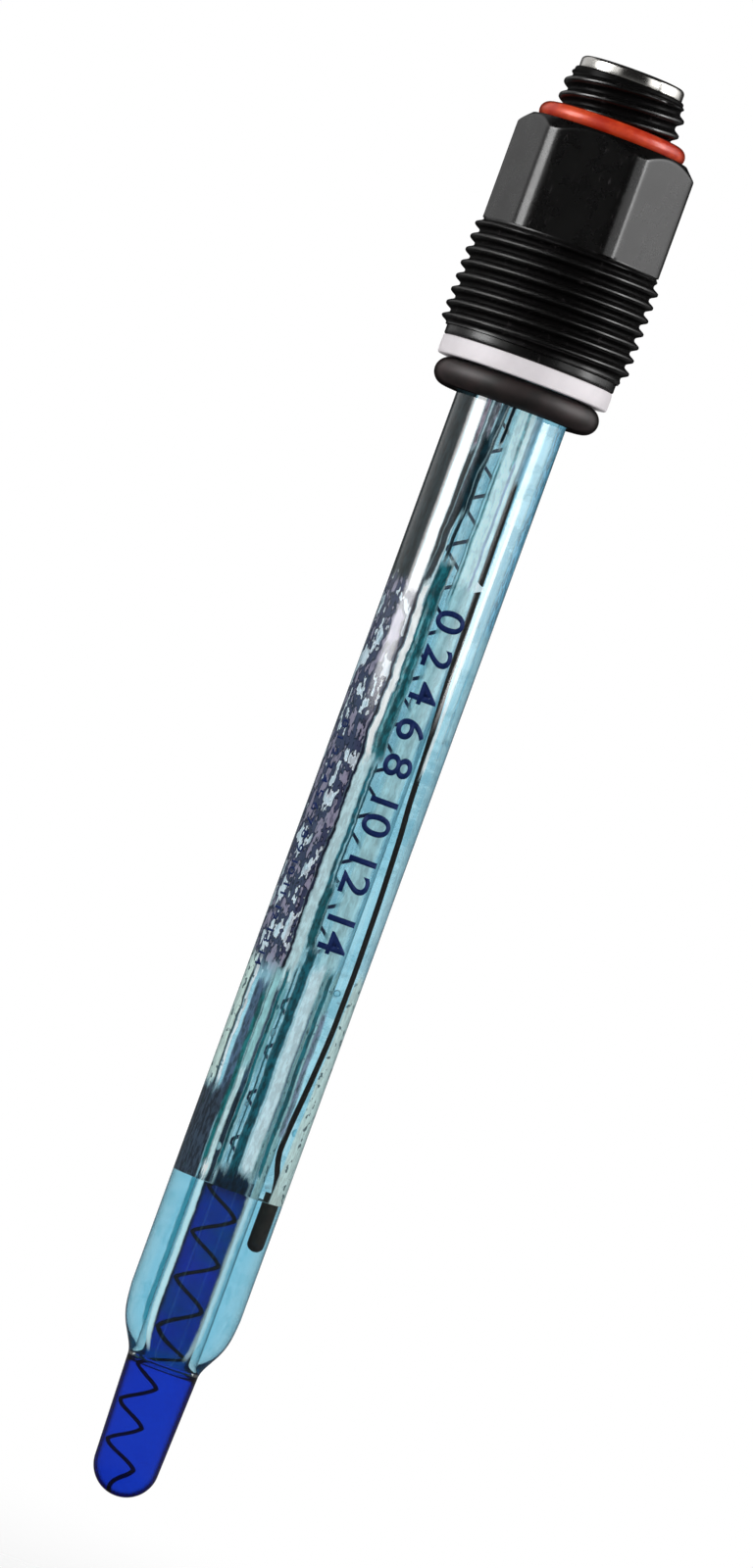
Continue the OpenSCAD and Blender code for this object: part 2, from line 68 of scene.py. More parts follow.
def skin(name, grid, wrapRows=False, crease=32.0):
    # Rows follow a profile and columns go round it, wrapped. A row that is all one point becomes a pole.
    rows, columns = grid.shape[:2]
    index = np.arange(rows * columns).reshape(rows, columns)
    below = index if wrapRows else index[:-1]
    above = np.roll(index, -1, 0) if wrapRows else index[1:]
    quads = np.stack([below, np.roll(below, -1, 1), np.roll(above, -1, 1), above], -1).reshape(-1, 4)
    return meshObject(name, grid.reshape(-1, 3), quads, crease)


def meshObject(name, vertices, faces, crease=32.0):
    mesh = bpy.data.meshes.new(name)
    mesh.from_pydata((vertices * metresPerMm).tolist(), [], faces.tolist())
    work = bmesh.new()
    work.from_mesh(mesh)
    bmesh.ops.remove_doubles(work, verts=work.verts, dist=1e-7)
    work.to_mesh(mesh)
    work.free()
    mesh.shade_smooth()
    mesh.set_sharp_from_angle(angle=math.radians(crease))
    piece = bpy.data.objects.new(name, mesh)
    bpy.context.scene.collection.objects.link(piece)
    return piece


def points(radius, height):
    # Points of an outline
    return np.stack(np.broadcast_arrays(radius, height), -1)


def revolve(outline, columns):
    # x = radius * cos(turn), y = radius * sin(turn), z = height, for each point of the outline and each turn
    turn = np.linspace(0, 2 * np.pi, columns, endpoint=False)
    radius, height = outline[:, :1], outline[:, 1:]
    return np.stack([radius * np.cos(turn), radius * np.sin(turn), height + 0 * turn], -1)


def lathe(name, outline, columns=256, closed=True):
    # The outline runs up the outside and down the inside. A closed one is a ring, an open one has poles.
    return skin(name, revolve(np.array(outline, float), columns), closed)


def cylinder(name, radius, half, sides):
    return lathe(name, [(0, -half), (radius, -half), (radius, half), (0, half)], sides, closed=False)


def filleted(corners):
    # Each corner (radius, height, rounding) of a closed outline becomes an arc that touches both its sides
    outline = []
    for i, (radius, height, rounding) in enumerate(corners):
        here = np.array([radius, height])
        if rounding == 0:
            outline.append(here)
            continue
        back = np.array(corners[i - 1][:2]) - here
        ahead = np.array(corners[(i + 1) % len(corners)][:2]) - here
        back, ahead = back / np.linalg.norm(back), ahead / np.linalg.norm(ahead)
        half = math.acos(float(np.clip(back @ ahead, -1, 1))) / 2
        middle = back + ahead
        centre = here + middle / np.linalg.norm(middle) * rounding / math.sin(half)
        start, end = (here + side * rounding / math.tan(half) - centre for side in (back, ahead))
        bend = math.pi - 2 * half
        share = np.linspace(0, 1, arcPoints)[:, None]
        arc = np.sin((1 - share) * bend) * start + np.sin(share * bend) * end
        outline.extend(centre + arc / math.sin(bend))
    return np.array(outline)


def sweep(name, path, radius, sides, guide):
    # A circle carried along the path: point = path + radius * (cos(a) * side + sin(a) * tangent x side)
    tangent = np.gradient(path, axis=0)
    tangent /= np.linalg.norm(tangent, axis=1, keepdims=True)
    side = guide - (guide * tangent).sum(1, keepdims=True) * tangent
    side /= np.linalg.norm(side, axis=1, keepdims=True)
    other = np.cross(tangent, side)
    around = np.linspace(0, 2 * np.pi, sides, endpoint=False)[None, :, None]
    tube = path[:, None] + radius * (np.cos(around) * side[:, None] + np.sin(around) * other[:, None])
    ends = [np.repeat(path[i][None, None], sides, 1) for i in (0, -1)]
    return skin(name, np.concatenate([ends[0], tube, ends[1]]), crease=60.0)


def smoothStep(x):
    x = np.clip(x, 0, 1)
    return x * x * (3 - 2 * x)


def softMin(a, b, blend):
    # The smaller of two values, rounded over where they cross
    share = np.clip(0.5 + 0.5 * (b - a) / blend, 0, 1)
    return b * (1 - share) + a * share - blend * share * (1 - share)


def polar(angle, radius, height):
    # Angle in degrees from the X axis, as in the solids
    a = np.radians(angle)
    return np.stack([radius * np.cos(a), radius * np.sin(a), height + 0 * a], -1)


def evaluatedMesh(piece):
    # The mesh that the piece's modifiers or its letters make
    bpy.context.view_layer.update()
    return bpy.data.meshes.new_from_object(piece.evaluated_get(bpy.context.evaluated_depsgraph_get()))


# Shader nodes written as sums

def colour(red, green, blue):
    # A screen colour, 0 to 255, as linear light
    share = np.array([red, green, blue]) / 255
    linear = np.where(share <= 0.04045, share / 12.92, ((share + 0.055) / 1.055) ** 2.4)
    return (*linear.tolist(), 1.0)


def grey(level):
    # The same linear light in red, green and blue
    return (level, level, level, 1.0)


class Term:
    # A shader socket that takes part in sums: each operator adds its Math node
    def __init__(self, paint, socket):
        self.paint, self.socket = paint, socket

    def maths(self, operation, first, second=0.0):
        return self.paint.add("ShaderNodeMath", {"operation": operation}, {0: first, 1: second})

    def __add__(self, other):
        return self.maths("ADD", self, other)

    def __radd__(self, other):
        return self.maths("ADD", other, self)

    def __sub__(self, other):
        return self.maths("SUBTRACT", self, other)

    def __rsub__(self, other):
        return self.maths("SUBTRACT", other, self)

    def __mul__(self, other):
        return self.maths("MULTIPLY", self, other)

    def __rmul__(self, other):
        return self.maths("MULTIPLY", other, self)

    def __truediv__(self, other):
        return self.maths("DIVIDE", self, other)

    def __abs__(self):
        return self.maths("ABSOLUTE", self)

    def atMost(self, other):
        return self.maths("MINIMUM", self, other)

    def atLeast(self, other):
        return self.maths("MAXIMUM", self, other)

    def part(self, output):
        return Term(self.paint, self.socket.node.outputs[output])


class Paint:
    # One material's node tree
    def __init__(self, name, tree=None):
        self.material = None
        if tree is None:
            self.material = bpy.data.materials.new(name)
            self.material.use_nodes = True
            tree = self.material.node_tree
        self.tree = tree
        tree.nodes.clear()

    def add(self, kind, settings=None, inputs=None, output=0):
        made = self.tree.nodes.new(kind)
        for key, value in (settings or {}).items():
            if key == "stops":
                row = made.color_ramp.elements
                for i, (position, shade) in enumerate(value):
                    stop = row[i] if i < 2 else row.new(position)
                    stop.position, stop.color = position, shade
            else:
                setattr(made, key, value)
        for key, value in (inputs or {}).items():
            if isinstance(value, Term):
                self.tree.links.new(value.socket, made.inputs[key])
            else:
                made.inputs[key].default_value = value
        return Term(self, made.outputs[output] if made.outputs else None)

    def place(self):
        # Object coordinates in millimetres
        spot = self.add("ShaderNodeTexCoord").part("Object")
        return self.add("ShaderNodeVectorMath", {"operation": "SCALE"}, {0: spot, 3: 1 / metresPerMm})

    def stretched(self, vector, x, y, z):
        return self.add("ShaderNodeVectorMath", {"operation": "MULTIPLY"}, {0: vector, 1: (x, y, z)})

    def joined(self, x, y, z):
        return self.add("ShaderNodeCombineXYZ", None, {0: x, 1: y, 2: z})

    def noise(self, vector, scale, detail=3.0, roughness=0.5):
        inputs = {"Vector": vector, "Scale": scale, "Detail": detail, "Roughness": roughness}
        return self.add("ShaderNodeTexNoise", None, inputs)

    def ease(self, value, start, end):
        # 0 before start and 1 after end, eased; start may be the larger one
        inputs = {0: value, 1: start, 2: end}
        return self.add("ShaderNodeMapRange", {"interpolation_type": "SMOOTHSTEP"}, inputs)

    def band(self, value, centre, half, soft):
        return self.ease(abs(value - centre), half + soft, half - soft)

    def between(self, value, low, high, soft):
        return self.band(value, (low + high) / 2, (high - low) / 2, soft)

    def mix(self, share, first, second):
        return self.add("ShaderNodeMix", {"data_type": "RGBA"}, {0: share, 6: first, 7: second}, 2)

    def blend(self, share, first, second):
        # Between two shaders
        return self.add("ShaderNodeMixShader", None, {0: share, 1: first, 2: second})

    def bump(self, height, depth, strength):
        inputs = {"Height": height, "Distance": depth * metresPerMm, "Strength": strength}
        return self.add("ShaderNodeBump", None, inputs)

    def principled(self, **inputs):
        names = {key.replace("_", " "): value for key, value in inputs.items()}
        return self.add("ShaderNodeBsdfPrincipled", None, names)

    def rim(self, start, end):
        # 1 where the surface turns away from the eye
        return self.ease(self.add("ShaderNodeLayerWeight", None, {"Blend": 0.5}).part("Facing"), start, end)

    def finish(self, shader):
        self.add("ShaderNodeOutputMaterial", None, {"Surface": shader})
        return self.material

    def axes(self):
        # X, Y and Z in millimetres
        parts = self.add("ShaderNodeSeparateXYZ", None, {0: self.place()})
        return [parts.part(name) for name in "XYZ"]

    def height(self):
        return self.axes()[2]

    def turn(self):
        # Degrees round from the front
        across, along = self.axes()[:2]
        return across.maths("ARCTAN2", across, 0 - along) * (180 / math.pi)

    def radius(self):
        # Distance from the axis in millimetres
        flat = self.stretched(self.place(), 1, 1, 0)
        return self.add("ShaderNodeVectorMath", {"operation": "LENGTH"}, {0: flat}, 1)


# Camera: 1 m away, level, rolled so that the head leans to the right

camera = {
    "aimX": 0.15, "aimZ": -48.2,   # what the middle of the picture shows, in mm
    "distance": 1000.0,
    "frameHeight": 162.4,          # mm of the object from the picture's bottom to its top
    "lean": 20.04,                 # degrees
    "farEnd": 20.0,                # m, beyond the floor and the drum
}


def makeCamera():
    lean = math.radians(camera["lean"])
    right = Vector((math.cos(lean), 0, math.sin(lean)))
    up = Vector((-math.sin(lean), 0, math.cos(lean)))
    lens = bpy.data.cameras.new("camera")
    lens.sensor_fit = "VERTICAL"
    lens.angle = 2 * math.atan(camera["frameHeight"] / 2 / camera["distance"])
    lens.clip_end = camera["farEnd"]
    eye = bpy.data.objects.new("camera", lens)
    turn = Matrix((right, up, (0, -1, 0))).transposed()
    eye.matrix_world = turn.to_4x4()
    eye.location = Vector((camera["aimX"], -camera["distance"], camera["aimZ"])) * metresPerMm
    bpy.context.scene.collection.objects.link(eye)
    bpy.context.scene.camera = eye


makeCamera()
bpy.context.scene.view_settings.view_transform = "Standard"
# a ray through the shaft crosses fourteen surfaces of glass, gel and buffer
bpy.context.scene.cycles.max_bounces = 28
bpy.context.scene.cycles.transmission_bounces = 28
bpy.context.scene.cycles.glossy_bounces = 8
print("camera placed")


# Stage and light

stage = {
    "floorDrop": 60.0,           # mm from the tip to the floor
    "floorRadius": 750.0, "floorSides": 64,
    "floorFade": (0.35, 0.98),   # shares of the radius between which the floor fades out
    "ambient": 0.62,             # light of the surroundings on rough surfaces
    "inner": 0.1,                # what light sees that left the glass after a reflection within it
    "lamps": {                   # each 1 m away: degrees round and up, width and height in m, radiance
        "leftBox": (-92, 0, 0.5, 1.1, 1.5),
        "rightBox": (88, 0, 0.6, 1.1, 1.9),
        "topBox": (24, 42, 0.35, 0.35, 4.0),
        "frontFill": (-30, 25, 0.7, 0.7, 1.1),
    },
}
drum = {                         # what gloss reflects: a drum round the object, in mm
    "radius": 1400.0, "half": 1250.0, "sides": 72, "brightest": 15.0,
    "rise": (25.0, 62.0),        # heights between which the bright part begins
    "fall": (1000.0, 1210.0),    # heights between which it gives way to the top's glow
    "sink": (-100.0, -1250.0),   # heights between which the lower part falls to the bottom's glow
    "lower": 0.1, "bottom": 0.025, "top": 0.012,
    # degrees round from the front and the glow there
    "upper": [(-180, 0.06), (-152, 0.1), (-142, 0.75), (-100, 0.55), (-88, 0.9), (-80, 13.0), (-60, 13.0),
              (-52, 1.2), (-34, 0.9), (-27, 0.01), (33, 0.01), (42, 2.0), (60, 2.6), (63, 0.3), (71, 0.3),
              (75, 13.0), (86, 13.0), (93, 4.0), (104, 2.8), (122, 1.2), (142, 0.02), (180, 0.02)],
}


def direction(turn, lift):
    # Unit vector towards a place so many degrees round from the front and so many up
    turn, lift = math.radians(turn), math.radians(lift)
    return Vector((math.sin(turn) * math.cos(lift), -math.cos(turn) * math.cos(lift), math.sin(lift)))


def lightPath(paint):
    # Two masks: rays from the eye, also by gloss or through glass, and rays that gloss has turned back
    path = paint.add("ShaderNodeLightPath")
    kinds = ("Is Camera Ray", "Is Glossy Ray", "Is Transmission Ray")
    direct, gloss, through = (path.part(kind) for kind in kinds)
    return (direct + gloss + through).atMost(1.0), path.part("Glossy Depth").atMost(1.0)


def makeWorld():
    world = bpy.data.worlds.new("surroundings")
    bpy.context.scene.world = world
    world.use_nodes = True
    sky = Paint("", world.node_tree)
    seen, reflected = lightPath(sky)
    bright = 1 - (1 - stage["inner"]) * reflected
    strength = stage["ambient"] * (1 - seen) + bright * seen
    light = sky.add("ShaderNodeBackground", None, {"Color": grey(1.0), "Strength": strength})
    sky.add("ShaderNodeOutputWorld", None, {"Surface": light})


def makeLamps():
    middle = Vector((0, 0, camera["aimZ"] * metresPerMm))
    for name, (turn, lift, width, height, radiance) in stage["lamps"].items():
        lamp = bpy.data.lights.new(name, "AREA")
        lamp.shape = "RECTANGLE"
        lamp.size, lamp.size_y = width, height
        lamp.energy = radiance * math.pi * width * height
        holder = bpy.data.objects.new(name, lamp)
        away = direction(turn, lift)
        holder.matrix_world = away.to_track_quat("Z", "Y").to_matrix().to_4x4()
        holder.location = middle + away
        holder.visible_camera = holder.visible_glossy = holder.visible_transmission = False
        bpy.context.scene.collection.objects.link(holder)


def makeDrum():
    wall = cylinder("lightDrum", drum["radius"], drum["half"], drum["sides"])
    soft = Paint("lightDrum")
    height = soft.height()
    lower, bottom, top = (grey(drum[key] / drum["brightest"]) for key in ("lower", "bottom", "top"))
    stops = [((angle + 180) / 360, grey(glow / drum["brightest"])) for angle, glow in drum["upper"]]
    upper = soft.add("ShaderNodeValToRGB", {"stops": stops}, {0: (soft.turn() + 180) / 360})
    glow = soft.mix(soft.ease(height, *drum["sink"]), lower, bottom)
    glow = soft.mix(soft.ease(height, *drum["rise"]), glow, upper)
    glow = soft.mix(soft.ease(height, *drum["fall"]), glow, top)
    shining = soft.principled(Base_Color=grey(0.0), Specular_IOR_Level=0.0,
                              Emission_Color=glow, Emission_Strength=drum["brightest"])
    wall.data.materials.append(soft.finish(shining))
    wall.visible_camera = wall.visible_diffuse = wall.visible_transmission = wall.visible_shadow = False


def makeFloor():
    # A disc that fades out towards its edge, and is dim to light that left the glass after a reflection
    height = lowEdge("membrane_bulb", 2) - stage["floorDrop"]
    reach, sides = stage["floorRadius"], stage["floorSides"]
    floor = meshObject("floor", revolve(np.array([[reach, height]]), sides)[0], np.arange(sides)[None])
    pale = Paint("paleFloor")
    seen, reflected = lightPath(pale)
    lift = pale.mix(seen, grey(0.0), colour(110, 110, 110))
    matt = pale.principled(Base_Color=colour(236, 236, 236), Roughness=0.9, Specular_IOR_Level=0.1,
                           Emission_Color=lift, Emission_Strength=1.0)
    fade = pale.ease(pale.radius(), *(reach * share for share in stage["floorFade"]))
    faded = pale.blend(fade, matt, pale.add("ShaderNodeBsdfTransparent"))
    dim = pale.principled(Base_Color=grey(0.0), Specular_IOR_Level=0.0,
                          Emission_Color=grey(stage["inner"]), Emission_Strength=1.0)
    floor.data.materials.append(pale.finish(pale.blend(reflected, faded, dim)))
    floor.visible_glossy = False


makeWorld()
makeLamps()
makeDrum()
makeFloor()
print("stage and lamps made")


# Finishes

# Valleys of both threads, in mm: middle and half of the height, softness, and the radii between which the
# gloss fades inwards into painted shade
valleys = {"gland": (5.0, 5.6, 0.3, 10.1, 9.75), "cable": (26.0, 3.2, 0.4, 6.5, 6.2)}


def blackPlastic():
    # Satin black; the valleys of both threads, read from the radius and the height, and the edge-on rim keep
    # no gloss: painted shade
    paint = Paint("blackPlastic")
    place = paint.place()
    radius = paint.radius()
    height = paint.height()
    cloud = paint.noise(place, 0.35, 4, 0.6)
    grain = paint.noise(place, 7, 3, 0.6)
    waves = paint.noise(paint.stretched(place, 1, 1, 0.5), 0.16, 2)
    scuff = paint.ease(paint.noise(paint.stretched(place, 1, 1, 0.35), 1.6, 6, 0.7), 0.60, 0.72)
    shade = paint.mix(cloud, colour(2, 2, 2), colour(9, 8, 8))
    shade = paint.mix(scuff * 0.3, shade, colour(96, 90, 92))
    bump = paint.bump(grain + 12 * waves, 0.012, 0.6)
    thread, deep = {}, {}
    for name, (middle, half, soft, crest, root) in valleys.items():
        thread[name] = paint.band(height, middle, half, soft)
        deep[name] = paint.ease(radius, crest, root) * thread[name]
    leftSide = paint.ease(paint.turn(), 10, -20)
    rough = 0.22 + 0.12 * cloud + 0.14 * scuff + thread["gland"] * (0.04 + 0.2 * leftSide)
    satin = paint.principled(Base_Color=shade, Roughness=rough, Normal=bump)
    paintedShadeShader = paint.principled(Base_Color=shade, Roughness=0.8, Specular_IOR_Level=0.04)
    # painted shade: a dull shader with almost no gloss along the thread valleys and the rim
    valley = (deep["gland"] + deep["cable"]).atMost(1.0).atLeast(paint.rim(0.72, 0.88)) * 0.92
    return paint.finish(paint.blend(valley, satin, paintedShadeShader))


def nickelPlate():
    # Bright, with fine turning marks
    paint = Paint("nickelPlate")
    streak = paint.noise(paint.joined(paint.turn() * 0.02, 0.0, paint.height() * 9), 1.0, 4, 0.6)
    cloud = paint.noise(paint.place(), 0.6, 3)
    shade = paint.mix(cloud, colour(196, 193, 187), colour(226, 224, 220))
    rough = 0.12 + 0.14 * streak
    bump = paint.bump(streak, 0.004, 0.6)
    return paint.finish(paint.principled(Base_Color=shade, Metallic=1.0, Roughness=rough, Normal=bump))


def cloudedMetal(name, scale, deep, light, rough, spread):
    paint = Paint(name)
    cloud = paint.noise(paint.place(), scale)
    shade = paint.mix(cloud, deep, light)
    return paint.finish(paint.principled(Base_Color=shade, Metallic=1.0, Roughness=rough + spread * cloud))


def rubber(name, deep, light, rough):
    # Clouded rubber with painted shade towards its rim: there it turns darker and loses its gloss
    paint = Paint(name)
    place = paint.place()
    cloud = paint.noise(place, 0.3, 4, 0.6)
    bump = paint.bump(paint.noise(place, 9, 2), 0.01, 0.5)
    shade = paint.mix(paint.ease(cloud, 0.35, 0.68), deep, light)
    # painted shade: the rim colour, darker than the rubber
    dim = paint.mix(0.7, shade, colour(10, 6, 5))
    satin = paint.principled(Base_Color=shade, Roughness=rough + 0.1 * cloud, Normal=bump)
    paintedShadeShader = paint.principled(Base_Color=dim, Roughness=0.8, Specular_IOR_Level=0.05)
    return paint.finish(paint.blend(paint.rim(0.62, 0.85), satin, paintedShadeShader))


def palePlastic(name, deep, light):
    paint = Paint(name)
    place = paint.place()
    cloud = paint.noise(place, 0.4, 4, 0.6)
    bump = paint.bump(paint.noise(place, 8, 2), 0.006, 0.5)
    shade = paint.mix(cloud, deep, light)
    return paint.finish(paint.principled(Base_Color=shade, Roughness=0.42 + 0.1 * cloud, Normal=bump))


def beadWithPaintedGlow():
    # White with a painted glow of its own, so that it stays bright deep in the gel
    paint = Paint("beadWithPaintedGlow")
    shade = paint.mix(paint.noise(paint.place(), 1.5), colour(238, 240, 242), colour(255, 255, 255))
    return paint.finish(paint.principled(
        Base_Color=shade, Roughness=0.4, Emission_Color=shade, Emission_Strength=0.5))


def darkFinish(name, deep, light, rough):
    paint = Paint(name)
    cloud = paint.noise(paint.place(), 0.8, 4, 0.6)
    shade = paint.mix(cloud, deep, light)
    rough = rough + 0.15 * cloud
    return paint.finish(paint.principled(Base_Color=shade, Roughness=rough, Specular_IOR_Level=0.15))


def glass(name, middle, rim, edge=(0.5, 1.1), shadedHeights=None):
    # Drawn glass with painted shade where it is seen edge on, deepest in patches between two given heights
    paint = Paint(name)
    place = paint.place()
    bump = paint.bump(paint.noise(paint.stretched(place, 1, 1, 0.05), 0.5, 2), 0.01, 0.3)
    # painted shade: the rim colour where the glass is seen edge on
    shade = paint.mix(paint.rim(*edge), middle, rim)
    if shadedHeights:
        # painted shade in patches along the edges between the shaded heights
        blots = paint.ease(paint.noise(place, 0.5, 3, 0.6), 0.45, 0.55)
        marks = paint.between(paint.height(), *shadedHeights, 0.8) * paint.rim(0.72, 0.9)
        shade = paint.mix(marks * blots, shade, colour(24, 28, 36))
    return paint.finish(paint.principled(
        Base_Color=shade, Roughness=0.0, IOR=1.5, Transmission_Weight=1.0, Normal=bump))


# What a gel lets through after one metre falls as exp(-density * (1 - colour)) for red, green and blue
# Strength of the painted glow that dried gel gives off
paintedGelGlow = 0.42
gelTint = {"density": 200.0, "lower": (0.32, 0.77, 0.90, 1), "upper": (0.58, 0.885, 0.965, 1)}
# Painted highlights and shade in the clear gel, round in degrees and up in mm, each as middle, half and
# softness
paintedRefractionLines = {
    "teal": ((-41.5, 3.4, 1.6), (-100.5, 8.0, 0.8)),
    "paleLeft": ((-31, 3.4, 1.6), (-101.5, 9.2, 0.8)),
    "paleRight": ((29, 4.0, 3), (-101.5, 9.2, 0.8)),
}
lineRadii = (2.9, 3.2)            # mm between which the lines begin, clear of the inner tube
# Heights in mm between which the buffer's blue changes from the bulb's to the tube's, and to the dark one
bufferChanges = {"tube": (-113, -110.5), "dark": (-94.5, -92.5)}


def wetSurface(paint, shade):
    # Gel or buffer against the glass
    return paint.principled(Base_Color=shade, Roughness=0.0, IOR=1.36, Transmission_Weight=1.0)


def driedGelWithPaintedGlow(paint, shade):
    # Dried gel with a painted glow: it gives off a little light of its own, so it stays bright behind the
    # glass
    return paint.principled(Base_Color=shade, Roughness=0.5, Specular_IOR_Level=0.2,
                            Emission_Color=shade, Emission_Strength=paintedGelGlow)


def steeped(paint, surface, tint):
    # A surface with plain absorption behind it
    inside = paint.add("ShaderNodeVolumeAbsorption", None, {"Color": tint, "Density": gelTint["density"]})
    paint.add("ShaderNodeOutputMaterial", None, {"Surface": surface, "Volume": inside})
    return paint.material


def clearGel():
    # Light blue gel with a teal line of painted shade and a pale painted highlight at the left of the core,
    # and a pale painted highlight at its right, where the inner tube's glass bends the light
    paint = Paint("clearGel")
    height = paint.height()
    place = paint.place()
    cloud = paint.noise(paint.stretched(place, 1, 1, 0.12), 0.55, 3)
    slant = paint.noise(paint.stretched(place, 1, 1, 0.5), 1.1, 4, 0.6)
    shade = paint.mix(paint.ease(cloud, 0.3, 0.7), colour(222, 246, 252), colour(255, 255, 255))
    shade = paint.mix(paint.ease(slant, 0.5, 0.62) * 0.35, shade, colour(150, 214, 226))
    wander = paint.turn() + 5 * (slant - 0.5)
    outside = paint.ease(paint.radius(), *lineRadii)
    lines = {}
    for name, (across, up) in paintedRefractionLines.items():
        lines[name] = paint.band(wander, *across) * paint.band(height, *up) * outside
    # teal is painted shade, pale is painted highlight
    teal, pale = lines["teal"], lines["paleLeft"].atLeast(lines["paleRight"] * 0.6)
    mark = paint.mix(paint.ease(pale, 0.0, 0.3), colour(18, 128, 152), colour(206, 244, 252))
    cover = (teal * 0.85).atLeast(pale * 0.75)
    # the lines are dried gel with a painted glow
    lined = paint.blend(cover, wetSurface(paint, shade), driedGelWithPaintedGlow(paint, mark))
    return steeped(paint, lined, gelTint["lower"])


def blueBuffer():
    # Blue, clouded in the tube, dark from just above the gel's level line
    paint = Paint("blueBuffer")
    place = paint.place()
    height = paint.height()
    cloud = paint.noise(paint.stretched(place, 1, 1, 0.3), 0.35, 3)
    patch = paint.ease(paint.noise(paint.stretched(place, 0.6, 0.6, 1), 0.22, 3), 0.42, 0.6)
    tube = paint.mix(patch, colour(26, 52, 176), colour(4, 74, 150))
    bulb = paint.mix(cloud, colour(16, 42, 170), colour(26, 72, 206))
    shade = paint.mix(paint.ease(height, *bufferChanges["tube"]), bulb, tube)
    shade = paint.mix(paint.ease(height, *bufferChanges["dark"]), shade, colour(0, 30, 84))
    return paint.finish(wetSurface(paint, shade))


# Streaks in the old gel, some of them painted reflections: degrees round at the lower end, lean in degrees
# per mm of height, half width and softness in degrees, lowest and highest height in mm, waviness, screen
# colour, and how much they cover
gelStreaks = [
    (0.5, 0.0, 8.5, 2, -27, -5, 1.5, (226, 242, 242), 0.05),   # pale haze before the spiral
    (20.5, 0.0, 10.5, 2, -27, 4, 1, (216, 250, 255), 0.85),    # pale strip between the tube and the lead
    (21, 0.0, 11, 2.5, -68, -26, 1, (190, 234, 240), 0.6),
    (22.5, 0.0, 1.8, 1.2, -13, 4, 1.5, (120, 188, 200), 0.8),
    (24.4, 0.0, 1.5, 1.0, -26, -12, 1.5, (160, 190, 220), 0.7),
    (8.7, 0.0, 1.1, 0.7, -28, -12, 2, (52, 124, 134), 0.8),    # teal edge of the spiral's window
    (37, 0.0, 5.5, 2, -14.5, 4, 1.5, (150, 206, 232), 0.6),
    (-72, 0.0, 28, 2, -27.5, 4, 1.5, (30, 48, 54), 1.0),       # painted dark reflection: slate band under the O-ring
    (-36.5, 0.0, 6.5, 1.5, -28, 4, 2, (255, 255, 255), 1.0),   # painted highlight: white stripe beside it
    (-27, 0.1, 2.6, 1.2, -12, 4, 2, (152, 142, 160), 0.9),
    (-22, 0.35, 3.4, 1.2, -22, 4, 2, (62, 74, 88), 0.95),
    (-17, 0.5, 2.6, 1.2, -13, 4, 2, (140, 142, 156), 0.9),
    (-13, 0.9, 3.0, 1.5, -14, 4, 2, (64, 92, 104), 0.95),
    (2, 0.3, 2.2, 1, -10.8, 4, 2, (6, 24, 34), 1.0),           # dark line that crosses the tube
    (-15.5, 0.0, 4.4, 1.2, -19.5, -10.2, 3, (10, 46, 58), 1.0),
    (-24, 0.6, 3.6, 1.0, -27, -18, 3, (12, 40, 52), 1.0),
    (-28, 0.0, 1.2, 0.8, -34, -26, 2, (34, 42, 62), 0.9),
    (70, 0.0, 5.0, 4, -44, 4, 2, (96, 172, 200), 0.6),
    (-9.5, 0.0, 7.5, 1.5, -46, -24, 4, (20, 104, 116), 0.95),  # teal band
    (-14, 0.1, 1.6, 1.0, -45, -29, 4, (110, 180, 190), 0.8),
    (-4, 0.0, 1.2, 0.8, -42, -30, 5, (90, 160, 172), 0.8),
    (-21, 0.0, 3.6, 1.0, -50, -27, 5, (250, 254, 254), 1.0),   # white line beside it
    (-19, 0.0, 6.5, 2.5, -71, -46, 3, (208, 240, 245), 0.8),
    (-10, 0.0, 2.2, 1.0, -66, -46, 4, (12, 98, 116), 0.95),
    (-7, 0.0, 4.5, 1.2, -66.5, -59.5, 4, (4, 88, 98), 0.95),
    (-27.5, 0.0, 1.9, 0.8, -70, -28, 5, (22, 26, 52), 1.0),    # edge of the blots
    (-1.5, 0.0, 5.5, 1.2, -92, -66, 2.5, (8, 92, 108), 0.95),
    (-19.5, 0.0, 2.0, 0.8, -91, -69, 2.5, (12, 104, 116), 0.9),
    (13, 0.0, 7, 2, -90.5, -68, 2, (214, 240, 247), 0.8),
    (29, 0.0, 3.0, 1.0, -90.5, -68, 2.5, (12, 102, 114), 0.95),
    (38, 0.0, 4.0, 1.5, -86, -72, 2.5, (118, 122, 150), 0.7),
    (-84, 0.0, 16, 3, -83, -69, 3, (216, 236, 226), 0.85),     # pale rim with a thin dark line in it
    (-68, 0.0, 2.6, 1.0, -84, -70, 6, (50, 62, 66), 0.95),
    (-62, 0.0, 2.6, 1.2, -83, -69, 6, (232, 236, 240), 0.85),
    (-45, 0.0, 9.0, 2, -86, -71, 3, (72, 96, 126), 0.95),
    (-72, 0.0, 31, 2, -93.5, -83, 3, (56, 72, 90), 1.0),       # slate blue above the level line
    (-38, 0.0, 3.2, 1.5, -91, -72, 2.5, (8, 112, 116), 0.95),
    (-31, 0.0, 3.0, 1.2, -92, -80, 3, (206, 238, 242), 0.9),
    (-29, 0.0, 4.0, 1.5, -80, -70, 3, (160, 216, 218), 0.8),
    (2, 0.0, 21, 3, -93.5, -90.6, 2, (8, 40, 62), 0.97),       # dark foot of the core above the level line
    (-33, 0.0, 3.2, 1.0, -92.0, -90.9, 1, (250, 254, 254), 1.0),
    (50.5, 0.0, 2.6, 1.2, -46, -16, 1.0, (240, 250, 252), 0.8),   # painted reflection: light line beside the lead
    (80, 0.0, 11, 3, -32, 4, 1.5, (104, 184, 222), 0.65),
    (78, 0.5, 23, 2, -93.5, -68, 2, (200, 224, 220), 0.88),    # speckled pale band at the right
    (80, 0.0, 10, 3, -66, -30, 2, (150, 196, 210), 0.5),
]
